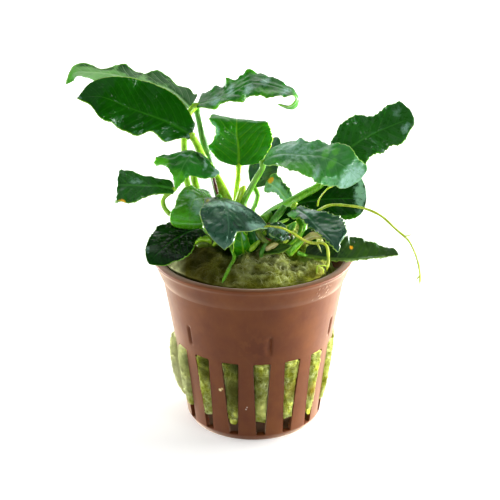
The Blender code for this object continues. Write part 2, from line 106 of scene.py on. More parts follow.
# Radius and height of the outer skin, from the middle of the base up and over the rim
POT_SKIN = [
    (0.3, 0), (6, 0), (12, 0), (16, 0), (17.3, 0.02), (17.8, 0.25), (18.15, 0.8), (18.6, 1.5),
    (19.0, 2.2), (22.1, 25.3), (24.8, 42.0), (24.95, 42.4), (25.35, 43.1), (25.7, 43.9),
    (26.3, 45.4), (26.7, 46.8), (27.1, 47.5), (27.48, 48.0), (27.45, 48.35), (27.2, 48.6),
    (26.2, 48.6), (25.4, 48.6), (25.1, 48.4), (25.0, 48.0), (24.9, 47.0), (24.7, 45.5),
]
GROOVE_ANGLES = (-0.83, 0.2, 1.12, 2.2, 3.2, 4.3)
GROOVE_LOW = 28.0
GROOVE_HIGH = 34.0
GROOVE_HALF = 0.5
GROOVE_DEPTH = 0.7
# Extra rows of points, where slots end and round the grooves
ROW_HEIGHTS = [
    2.25, 2.35, 2.5, 2.65, 4, 7, 10, 13, 16, 19, 22, 24.6, 24.85, 25.0, 25.15, 25.25, 25.3, 26.5,
    27.4, *np.arange(28, 35, 0.5), 35.2, 37, 39.5,
]
# Pale crumbs of grit that stick to the ribs: where, how far, colour
GRIT = [
    ((-9.2, -19.2, 16.2), 0.7, "#E2D09A"), ((-2.1, -20.4, 10.9), 0.45, "#D8C8B8"),
    ((-8.6, -19.4, 16.7), 0.5, "#C8B070"), ((-1.8, -20.4, 11.6), 0.35, "#C8B0A0"),
]


def linear(code):
    """A material colour from an sRGB hex code."""
    values = [int(code[k : k + 2], 16) / 255 for k in (1, 3, 5)]
    return (*[v / 12.92 if v < 0.04045 else ((v + 0.055) / 1.055) ** 2.4 for v in values], 1.0)


def add(tree, kind, inputs=(), out=0, **settings):
    """Adds a node and gives one of its outputs.

    inputs are values or sockets to link, by name or number, or as a list in the node's order.
    settings are the node's own properties.
    """
    node = tree.nodes.new("ShaderNode" + kind)
    for name, value in settings.items():
        setattr(node, name, value)
    for name, value in inputs.items() if isinstance(inputs, dict) else enumerate(inputs):
        if isinstance(value, bpy.types.NodeSocket):
            tree.links.new(value, node.inputs[name])
        else:
            node.inputs[name].default_value = value
    return node.outputs[out]


def start_material(name, **inputs):
    """A material with its Principled shader; inputs are constants such as Roughness."""
    mat = bpy.data.materials.new(name)
    mat.use_nodes = True
    shader = mat.node_tree.nodes["Principled BSDF"]
    for key, value in inputs.items():
        shader.inputs[key.replace("_", " ")].default_value = value
    return mat, mat.node_tree, shader


def cover(tree, under, mask, low, high, most, over):
    """Lays one colour over another: its share goes from 0 to most as the mask goes low to high."""
    share = add(tree, "MapRange", [mask, low, high, 0.0, most])
    first, second = [linear(c) if isinstance(c, str) else c for c in (under, over)]
    return add(tree, "Mix", {0: share, 6: first, 7: second}, out=2, data_type="RGBA")


def near(tree, place_mm, full_mm, reach_mm):
    """1 within full_mm of a point, fading to 0 at reach_mm, on Object coordinates."""
    ends = [add(tree, "TexCoord", out="Object"), [c * MM for c in place_mm]]
    away = add(tree, "VectorMath", ends, out="Value", operation="DISTANCE")
    return add(tree, "MapRange", [away, full_mm * MM, reach_mm * MM, 1.0, 0.0])


def grid_faces(rows, cols, closed):
    """Quads of a grid of points stored row by row; closed joins the last column to the first."""
    across = cols if closed else cols - 1
    row, col = np.meshgrid(np.arange(rows - 1), np.arange(across), indexing="ij")
    after = (col + 1) % cols
    quads = [row * cols + col, row * cols + after, (row + 1) * cols + after, (row + 1) * cols + col]
    return np.stack(quads, -1).reshape(-1, 4)


def make_piece(name, points, faces, materials, nodes=(), picks=None, layers=None):
    """A mesh object from points in mm, riding on the plant's body in place of its CAD nodes."""
    mesh = bpy.data.meshes.new(name)
    counts = np.array([len(f) for f in faces]) if isinstance(faces, list) else None
    if counts is None:
        counts = np.full(len(faces), faces.shape[1])
        corners = faces.reshape(-1)
    else:
        corners = np.concatenate([np.asarray(f) for f in faces])
    mesh.vertices.add(len(points))
    mesh.vertices.foreach_set("co", (np.asarray(points, float) * MM).reshape(-1))
    mesh.loops.add(len(corners))
    mesh.loops.foreach_set("vertex_index", corners.astype(np.int32))
    mesh.polygons.add(len(counts))
    starts = np.concatenate([[0], np.cumsum(counts)[:-1]])
    mesh.polygons.foreach_set("loop_start", starts.astype(np.int32))
    mesh.polygons.foreach_set("use_smooth", np.ones(len(counts), bool))
    for mat in materials:
        mesh.materials.append(mat)
    if picks is not None:
        mesh.polygons.foreach_set("material_index", np.asarray(picks, np.int32))
    for key, values in (layers or {}).items():
        layer = mesh.attributes.new(key, "FLOAT", "POINT")
        layer.data.foreach_set("value", np.asarray(values, np.float32).reshape(-1))
    mesh.update(calc_edges=True)
    mesh.validate()
    piece = bpy.data.objects.new(name, mesh)
    bpy.context.scene.collection.objects.link(piece)
    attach(piece, "root")
    if nodes:
        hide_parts(*nodes)
    return piece


def slot_half(z):
    """Half width of a slot at height z, drawn in at its rounded corners."""
    share = np.clip((z - SLOT_LOW) / (SLOT_HIGH - SLOT_LOW), 0, 1)
    half = SLOT_HALF_LOW + (SLOT_HALF_HIGH - SLOT_HALF_LOW) * share
    end = np.clip(np.minimum(z - SLOT_LOW, SLOT_HIGH - z), 0, SLOT_CORNER)
    return half - (SLOT_CORNER - np.sqrt(SLOT_CORNER**2 - (SLOT_CORNER - end) ** 2))


def pot_rows():
    """Radius and height of every row of the skin, closer together at slot ends and grooves."""
    skin = np.array(POT_SKIN, float)
    run = np.concatenate([[0], np.cumsum(np.hypot(*np.diff(skin, axis=0).T))])
    foot = run[8]
    shoulder = run[10]
    slope = (shoulder - foot) / (POT_SKIN[10][1] - SLOT_LOW)
    wanted = np.concatenate([run, foot + (np.array(ROW_HEIGHTS) - SLOT_LOW) * slope])
    wanted = np.unique(np.round(wanted, 3))
    return np.interp(wanted, run, skin[:, 0]), np.interp(wanted, run, skin[:, 1])


radius, height = pot_rows()
unit_columns = SLOT_COLUMNS + RIB_COLUMNS
columns = np.arange(SLOTS * unit_columns)
place_in_unit = columns % unit_columns
unit_centre = POT_PHASE + (columns // unit_columns) * POT_STEP
half_angle = (slot_half(height) / np.maximum(radius, 17))[:, None]
in_slot = place_in_unit <= SLOT_COLUMNS
across_slot = (place_in_unit / SLOT_COLUMNS * 2 - 1)[None] * half_angle
share = ((place_in_unit - SLOT_COLUMNS) / RIB_COLUMNS)[None]
across_rib = half_angle * (1 - share) + (POT_STEP - half_angle) * share
angle = unit_centre[None] + np.where(in_slot[None], across_slot, across_rib)
skin_radius = np.repeat(radius[:, None], len(columns), axis=1)
groove_end = np.clip(np.minimum(height - GROOVE_LOW, GROOVE_HIGH - height), 0, 1)[:, None]
for groove in GROOVE_ANGLES:
    off = (angle - groove + math.pi) % (2 * math.pi) - math.pi
    dip = np.clip(1 - (off * skin_radius / GROOVE_HALF) ** 2, 0, 1)
    skin_radius = skin_radius - GROOVE_DEPTH * dip * groove_end
high = np.repeat(height[:, None], len(columns), 1)
pot_points = np.stack([skin_radius * np.sin(angle), -skin_radius * np.cos(angle), high], -1)
pot_faces = grid_faces(len(height), len(columns), True)
face_row = np.repeat(np.arange(len(height) - 1), len(columns))
face_col = np.tile(np.arange(len(columns)), len(height) - 1)
middle = (height[face_row] + height[face_row + 1]) / 2
open_face = (middle > SLOT_LOW) & (middle < SLOT_HIGH) & (face_col % unit_columns < SLOT_COLUMNS)
foot_cap = [list(range(len(columns)))[::-1]]
pot_shell = [list(f) for f in pot_faces[~open_face]] + foot_cap

# Injection-moulded polypropylene: satin and faintly mottled, paler and warmer towards its sides,
# with scuffs drawn up the wall, a damp patch and a few raised specks of water under the rim,
# their glints painted in as a paler colour. Painted shade darkens the inside of the rim and a
# painted highlight runs along the top of the lip. The grain of the mould is finer than the 1.2 mm
# that it is drawn at, so that it shows.
plastic, tree, shader = start_material(
    "moulded polypropylene, terracotta brown", Roughness=0.4, IOR=1.49, Subsurface_Weight=0.06,
    Subsurface_Scale=0.002, Specular_IOR_Level=0.12, Sheen_Weight=1.0, Sheen_Roughness=0.28,
    Sheen_Tint=linear("#FFEACE"), Coat_Weight=0.3, Coat_IOR=1.35, Coat_Roughness=0.4,
)
place = add(tree, "TexCoord", out="Object")
upright = add(tree, "Mapping", {"Vector": place, "Scale": (1, 1, 0.12)})
mottle, scuffs, blotch, satin, pits = [
    add(tree, "TexNoise", {"Vector": on, "Scale": 1 / (mm * MM), "Detail": detail, "Roughness": 0.55})
    for on, mm, detail in (
        (place, 7.0, 4.0), (upright, 0.6, 2.0), (place, 1.6, 3.0), (place, 2.0, 3.0), (place, 1.2, 3.0))
]
cells = add(tree, "TexVoronoi", {"Vector": place, "Scale": 1 / (1.15 * MM)})
shaded_inside, lip_highlight = [add(tree, "Attribute", out="Fac", attribute_name=key) for key in ("shaded_inside", "lip_highlight")]
paint = cover(tree, "#592C10", mottle, 0.35, 0.7, 1, "#673814")
paint = cover(tree, paint, scuffs, 0.6, 0.8, 0.1, "#8A5630")
broken = add(tree, "MapRange", [blotch, 0.42, 0.52, 0, 1])
damp = add(tree, "Math", [near(tree, (0.6, -22, 31), 2, 7), broken], operation="MULTIPLY")
paint = cover(tree, paint, damp, 0, 1, 0.45, "#4A1E08")
for spot, reach, colour in GRIT:
    paint = cover(tree, paint, near(tree, spot, 0.6 * reach, reach), 0, 1, 1, colour)
# Painted shade: the inside of the rim is darkened
paint = cover(tree, paint, shaded_inside, 0, 1, 0.75, "#3A1C0C")
# Raised specks of water under the rim; their paler colour is a painted glint
dots = add(tree, "MapRange", [cells, 0.2, 0.4, 1, 0])
drop_glint_specks = add(tree, "Math", [dots, near(tree, (17.9, -19, 45), 2, 4)], operation="MULTIPLY")
paint = cover(tree, paint, drop_glint_specks, 0, 1, 0.15, "#B07C56")
# Painted highlight along the top of the lip
paint = cover(tree, paint, lip_highlight, 0, 1, 0.4, "#8E5634")
tree.links.new(paint, shader.inputs["Base Color"])
tree.links.new(add(tree, "MapRange", [satin, 0.3, 0.7, 0.48, 0.6]), shader.inputs["Roughness"])
relief = add(tree, "Math", [pits, 0.08, drop_glint_specks], operation="MULTIPLY_ADD")
normal = add(tree, "Bump", {"Height": relief, "Strength": 0.35, "Distance": 0.5 * MM})
tree.links.new(normal, shader.inputs["Normal"])

# The rows past the widest one turn over the lip and down the inside. The first rows over the lip
# get a painted highlight, and the inside gets painted shade.
past_widest = np.arange(len(height)) - np.argmax(radius)
inside = np.clip(past_widest / 3 - 1, 0, 1)
painted_lip_rows = np.isin(past_widest, (1, 2, 3)).astype(float)
pot_layers = {"shaded_inside": np.repeat(inside, len(columns)), "lip_highlight": np.repeat(painted_lip_rows, len(columns))}
pot = make_piece("net_pot_shell", pot_points.reshape(-1, 3), pot_shell, [plastic], ["net_pot"],
                 layers=pot_layers)
wall = pot.modifiers.new("wall", "SOLIDIFY")
wall.thickness = POT_WALL * MM
wall.offset = -1
edges = pot.modifiers.new("edges", "BEVEL")
edges.width = POT_BEVEL * MM
edges.segments = 2
edges.limit_method = "ANGLE"
edges.angle_limit = math.radians(50)
pot.modifiers.new("even", "WEIGHTED_NORMAL")


# Rock wool
# A plug of wet mineral fibre, olive where it is soaked and pale green where it dries. It is
# pushed into the pot around the roots, swells out of the slots and stands up over the rim.
WOOL_FLOOR = 7.0
WOOL_RIM = 48.3
WOOL_DOME = 3.4
WOOL_TOP_RADIUS = 24.75
WOOL_LUMP = 0.9
WOOL_FUZZ = 0.25
# How far it swells out of the slots at the left, the right and the front, past the wall
SWELL_LEFT = 2.3
SWELL_RIGHT = 1.1
SWELL_FRONT = -0.3
WOOL_GAP = 0.35
# Humps and hollows of its top: height, place, and reach in x and y
WOOL_HUMPS = [(1.2, -12, -12, 8, 8), (-3.2, 12, -9, 5, 3.5)]
WOOL_TURNS = 22
WALL_MIDDLE = 21.0
# Each set of fibres: how many, share of the top that it covers or None for the slots, lengths,
# lifts off the surface, thickness against a plain fibre, and the number of its material
FIBRES = {
    "rock_wool_fibres_top": (22000, 1.0, (1.4, 4.2), (-0.05, 0.4), 1.0, 1),
    "rock_wool_fibres_slots": (13000, None, (1.2, 3.6), (-0.1, 0.35), 1.0, 1),
    "rock_wool_tufts_top": (2600, 0.96, (2.0, 5.0), (0.2, 1.1), 1.2, 2),
    "rock_wool_tufts_slots": (2600, None, (2.0, 5.0), (0.0, 0.5), 1.1, 2),
}
FIBRES_IN_PIECE = 8000
# A fibre is about 0.01 mm thick, and bundles of them are drawn, so that they show in the render
FIBRE_RADIUS = 0.032
rng = np.random.default_rng(7)


def lumps(points, size, seed):
    """Smooth noise from -1 to 1 at points in mm: random values on a lattice of that size."""
    lattice = np.random.default_rng(seed).uniform(-1, 1, (32, 32, 32))
    scaled = np.asarray(points, float) / size
    cell = np.floor(scaled).astype(int)
    part = scaled - cell
    part = part * part * (3 - 2 * part)
    total = 0
    for corner in np.ndindex(2, 2, 2):
        index = (cell + corner) % 32
        weight = np.prod(np.where(np.array(corner) == 1, part, 1 - part), axis=-1)
        total = total + weight * lattice[index[..., 0], index[..., 1], index[..., 2]]
    return total


def wall_radius(z):
    """Outer radius of the pot's wall at height z."""
    skin = np.array(POT_SKIN[8:11])
    return np.interp(z, skin[:, 1], skin[:, 0])


def wool_side(turn, z):
    """Radius of the wool in the pot: inside the wall, and swollen into every slot."""
    off = (turn - POT_PHASE + POT_STEP / 2) % POT_STEP - POT_STEP / 2
    wall = wall_radius(z)
    across = np.abs(off) * wall / np.maximum(slot_half(z) - 0.1, 0.3)
    share = np.clip((z - WOOL_FLOOR) / (SLOT_HIGH - WOOL_FLOOR), 0, 1)
    swell = np.clip(np.sin(math.pi * share), 0, 1) ** 0.5
    left = np.maximum(0, -np.sin(turn)) ** 4
    right = np.maximum(0, np.sin(turn)) ** 4
    bulge = (SWELL_LEFT * left + SWELL_RIGHT * right + SWELL_FRONT) * swell + POT_WALL + WOOL_GAP
    lobe = np.clip(1 - across**4, 0, 1) ** 0.5
    inside = (z > WOOL_FLOOR - 0.1) & (z < SLOT_HIGH)
    return wall - POT_WALL - WOOL_GAP + np.where(inside, bulge * lobe, 0)


def wool_top(x, y):
    """Height of the wool's top at x and y.

    A low dome, plus lumps in three sizes that fade at the wall, plus humps and hollows, plus a
    brim that rises against the rim at the left, less a slope that falls off at the far right.
    """
    r = np.minimum(np.hypot(x, y) / WOOL_TOP_RADIUS, 1)
    flat = np.stack([x, y, np.zeros_like(x)], -1)
    rough = WOOL_LUMP * (0.6 - 1.6 * np.abs(lumps(flat, 5.5, 1))) + WOOL_FUZZ * lumps(flat, 1.1, 2)
    rough += 0.7 * (0.5 - np.abs(lumps(flat, 2.6, 9)))
    high = WOOL_RIM + WOOL_DOME * (1 - r**4) + rough * (1 - 0.7 * r**20)
    for rise, mid_x, mid_y, wide, deep in WOOL_HUMPS:
        high = high + rise * np.exp(-(((x - mid_x) / wide) ** 2) - ((y - mid_y) / deep) ** 2)
    brim = 1.1 * np.clip((12 - x) / 10, 0, 1) * (r**6 - r**40)
    return high + brim - 8 * np.clip((x - 17.5) / 4.5, 0, 1) ** 1.3


def wool_hollow_shade(points):
    """Painted shade: 1 in the hollows between tufts and 0 on their crests, for points in mm."""
    over_rim = points[..., 2:] > WOOL_RIM - 9
    flat = np.where(over_rim, points * [1, 1, 0], points)
    deep = 1.1 * np.abs(lumps(flat, 5.5, 1)) + 1.3 * np.abs(lumps(flat, 2.6, 9)) - 0.35
    return np.clip(deep, 0, 1) * np.where(over_rim[..., 0], 1.0, 0.45)


def within_pot(x, y, z):
    """x and y drawn in to the pot's inner wall at height z."""
    heights = [SLOT_LOW, SLOT_HIGH, 42, 45.5, 48]
    limit = np.interp(z, heights, [17.7, 20.7, 23.4, 24.5, WOOL_TOP_RADIUS])
    keep = np.minimum(1, limit / np.maximum(np.hypot(x, y), 0.1))
    return x * keep, y * keep


slot_z = np.linspace(WOOL_FLOOR, SLOT_HIGH, 66)
side_z = np.concatenate([slot_z, np.linspace(SLOT_HIGH + 0.1, WOOL_RIM, 20)])
side_turn = np.linspace(0, 2 * math.pi, SLOTS * WOOL_TURNS, endpoint=False)
turn_grid, z_grid = np.meshgrid(side_turn, side_z)
r_grid = wool_side(turn_grid, z_grid)
side = np.stack([r_grid * np.sin(turn_grid), -r_grid * np.cos(turn_grid), z_grid], -1)
fluff = 1.3 * (0.35 - np.abs(lumps(side, 3.4, 3))) + 0.35 * lumps(side, 1.6, 8) + 0.15 * lumps(side, 0.7, 4)
inside_share = np.clip((z_grid - WOOL_FLOOR) / 2, 0, 1) * (z_grid < SLOT_HIGH)
side[..., :2] *= (1 + (fluff * inside_share - 0.1) / r_grid)[..., None]
edge_z = wool_top(WOOL_TOP_RADIUS * np.sin(turn_grid), -WOOL_TOP_RADIUS * np.cos(turn_grid))
over_slots = np.maximum(z_grid - SLOT_HIGH, 0) / (WOOL_RIM - SLOT_HIGH)
side[..., 2] += over_slots * (edge_z - WOOL_RIM)
side[..., 2] += 2.2 * lumps(side * [1, 1, 0], 2.6, 5) * np.clip((10.5 - z_grid) / 3.5, 0, 1)
top_share = np.linspace(1, 0.01, 60)[:, None]
top_turn = side_turn[None]
top_x = WOOL_TOP_RADIUS * top_share * np.sin(top_turn)
top_y = -WOOL_TOP_RADIUS * top_share * np.cos(top_turn)
top_z = wool_top(top_x, top_y)
top = np.stack([*within_pot(top_x, top_y, top_z), top_z], -1)
wool_points = np.concatenate([side, top])
wool_rows = len(wool_points)
wool_faces = grid_faces(wool_rows, len(side_turn), True)
last = (wool_rows - 1) * len(side_turn)
wool_caps = [list(range(len(side_turn)))[::-1], list(range(last, last + len(side_turn)))]

# Places where the wool is soaked, stained or dry: where, how far, colour
SLOT_STAINS = [
    ((-4.6, -21, 16), 8.5, "#5E6026"), ((-12, -18, 20), 4.0, "#6A6A20"),
    ((-12.5, -17.5, 24), 4.5, "#565C1C"), ((-4.6, -21, 24.5), 4.5, "#555E2C"),
    ((11.5, -18.5, 15.5), 4.5, "#8E8420"), ((16.5, -14, 13), 3.5, "#A08A1C"),
    ((4.5, -20.5, 11), 5.0, "#C6CC7C"), ((13, -17, 22), 3.5, "#B4BC58"),
    ((-17.5, -12, 21), 4.0, "#A8B070"), ((-20.5, -7, 14), 7.0, "#D4D8A8"),
    ((17, -17, 47), 5.0, "#8E8A1C"),
]
# Wet stone wool: matt and olive, paler at fibre ends, with painted shade deep in its hollows. It
# is darker above the rim at the left, partly soaked and partly painted shade under the leaves,
# and almost dry where it swells out at the far left.
# Its fuzz is drawn at 0.5 mm, far coarser than the fibres, so that it shows.
wool_mats = []
for label, deep, olive, pale in (
    ("wet stone wool, packed", "#5C5C0C", "#969C28", "#C8D26A"),
    ("wet stone wool, fibre ends", "#767A14", "#B0BA40", "#DCE690"),
    ("wet stone wool, dry tufts", "#A4AC3C", "#CCD474", "#EEF4BC"),
):
    mat, tree, shader = start_material(label, Roughness=0.8, IOR=1.5, Specular_IOR_Level=0.05)
    place = add(tree, "TexCoord", out="Object")
    across, high = [add(tree, "SeparateXYZ", [place], out=axis) for axis in "XZ"]
    patch, fine, fuzz = [
        add(tree, "TexNoise", {"Vector": place, "Scale": 1 / (mm * MM), "Detail": detail, "Roughness": grit})
        for mm, detail, grit in ((4.5, 3.0, 0.55), (1.6, 3.0, 0.55), (0.5, 4.0, 0.7))
    ]
    hollow_shade = add(tree, "Attribute", out="Fac", attribute_name="hollow_shade")
    paint = cover(tree, olive, patch, 0.4, 0.6, 1, pale)
    paint = cover(tree, deep, fine, 0.3, 0.62, 1, paint)
    above = add(tree, "MapRange", [high, 0.030, 0.046, 0, 1])
    leftward = add(tree, "MapRange", [across, 0.002, -0.013, 0, 0.9])
    soaked_and_shaded = add(tree, "Math", [leftward, above], operation="MULTIPLY")
    # Darker above the rim at the left: partly soaked, partly painted shade under the leaves
    paint = cover(tree, paint, soaked_and_shaded, 0, 1, 1, "#484200")
    paint = cover(tree, paint, across, -0.0175, -0.0205, 0.75, "#D2D6A0")
    for spot, reach, colour in SLOT_STAINS:
        paint = cover(tree, paint, near(tree, spot, 0.2 * reach, reach), 0, 1, 1, colour)
    # Painted shade deep in the hollows between tufts
    paint = cover(tree, paint, hollow_shade, 0.2, 0.9, 0.7, "#3E3E04")
    tree.links.new(paint, shader.inputs["Base Color"])
    normal = add(tree, "Bump", {"Height": fuzz, "Strength": 0.8, "Distance": 0.25 * MM})
    tree.links.new(normal, shader.inputs["Normal"])
    wool_mats.append(mat)

wool_points = wool_points.reshape(-1, 3)
make_piece("rock_wool_plug", wool_points, [list(f) for f in wool_faces] + wool_caps, [wool_mats[0]],
           ["rock_wool"], layers={"hollow_shade": wool_hollow_shade(wool_points)})


def unit(v):
    """Vectors brought to length one."""
    return v / np.maximum(np.linalg.norm(v, axis=-1, keepdims=True), 1e-9)


def tubes(paths, radii, sides, over):
    """Tubes along many paths at once: a ring of points around each path point, across its run.

    paths is (tubes, points, 3), radii (tubes, points) or (tubes, points, sides), and over a
    direction that no path runs along, from which the rings take their turn.
    """
    run = unit(np.gradient(paths, axis=1))
    across = unit(np.cross(run, over))
    rise = np.cross(across, run)
    turn = 2 * math.pi * np.arange(sides) / sides
    radii = radii[..., None] if radii.ndim == 2 else radii
    ring = np.cos(turn)[:, None] * across[:, :, None] + np.sin(turn)[:, None] * rise[:, :, None]
    points = paths[:, :, None] + radii[..., None] * ring
    count, length = paths.shape[:2]
    one = grid_faces(length, sides, True)[:, ::-1]
    faces = (one[None] + (np.arange(count) * length * sides)[:, None, None]).reshape(-1, 4)
    return points.reshape(-1, 3), faces


def fibre_paths(count, reach, spots, surface, lift):
    """Short curved paths laid on a surface of two parameters, from spots on it."""
    steps = np.linspace(-0.5, 0.5, 5)
    heading = rng.uniform(0, 2 * math.pi, count)
    bend = rng.normal(0, 1.7, count)
    length = rng.uniform(*reach, count)
    way = heading[:, None] + bend[:, None] * steps
    step = length[:, None] / 4
    first = spots[0][:, None] + np.cumsum(np.cos(way) * step, axis=1)
    second = spots[1][:, None] + np.cumsum(np.sin(way) * step, axis=1)
    high = rng.uniform(*lift, count)[:, None] * (0.35 + 1.3 * np.cos(math.pi * steps))
    return surface(first, second, high)


def on_top(x, y, high):
    """Points over the wool's top at x and y, kept inside the pot and lifted by high."""
    keep = np.minimum(1, (WOOL_TOP_RADIUS - 0.05) / np.hypot(x, y))
    x, y = x * keep, y * keep
    z = wool_top(x, y)
    return np.stack([*within_pot(x, y, z), z + high], -1)


def on_side(arc, z, high):
    """arc is measured along the wall; a fibre stays between the slot's edges."""
    z = np.clip(z, WOOL_FLOOR + 0.3, SLOT_HIGH - 0.5)
    start = np.rint(arc[:, :1] / (POT_STEP * WALL_MIDDLE)) * POT_STEP
    limit = (slot_half(z) - 0.25) / wall_radius(z)
    turn = POT_PHASE + start + np.clip(arc / WALL_MIDDLE - start, -limit, limit)
    r = wool_side(turn, z) + high
    return np.stack([r * np.sin(turn), -r * np.cos(turn), z], -1)


fibre_sets = {}
for name, (count, share, reach, lift, _, _) in FIBRES.items():
    if share:
        off_axis = WOOL_TOP_RADIUS * np.sqrt(rng.uniform(0, share, count))
        bearing = rng.uniform(0, 2 * math.pi, count)
        spots = (off_axis * np.cos(bearing), off_axis * np.sin(bearing))
    else:
        slot = rng.integers(0, SLOTS, count) * POT_STEP * WALL_MIDDLE
        spots = (slot + rng.uniform(-2, 2, count), rng.uniform(WOOL_FLOOR, SLOT_HIGH, count))
    fibre_sets[name] = fibre_paths(count, reach, spots, on_top if share else on_side, lift)
for name, paths in fibre_sets.items():
    count, share, _, _, width, number = FIBRES[name]
    taper = np.array([0.5, 1, 1, 0.9, 0.4])[None] * rng.uniform(0.6, 1.5, (count, 1))
    taper *= width * FIBRE_RADIUS
    over = (0.1, 0.2, 1.0) if share else (0.3, 0.4, 0.2)
    for part, first in enumerate(range(0, count, FIBRES_IN_PIECE)):
        chosen = slice(first, first + FIBRES_IN_PIECE)
        points, faces = tubes(paths[chosen], taper[chosen], 3, over)
        layers = {"hollow_shade": np.repeat(wool_hollow_shade(paths[chosen]).reshape(-1), 3)}
        make_piece(f"{name}_{part + 1}", points, faces, [wool_mats[number]], layers=layers)


# Leaf blades
# Leathery blades of a young anubias, wet and waxy above, with a pale midrib and side veins that
# bow towards the tip, frilled at the margin. Below, the midrib stands out and the green is paler.
BLADE_THICK = 0.5
BLADE_EDGE = 0.22
NARROWEST = 0.2
ROW_MM = 0.25
COLUMN_MM = 0.26
RIB_GROOVE = 0.14
RIB_RIDGE = 0.5
VEIN_STEP = 2.7
FINE_VEINS = 3
VEIN_WIDTH = 0.15
FINE_WIDTH = 0.1
MIDRIB_WIDTH = 0.42
RIDGE_WIDTH = 0.5
PALE_EDGE = 0.38
TOOTH_MM = 1.4
FRILL_MM = 4.5
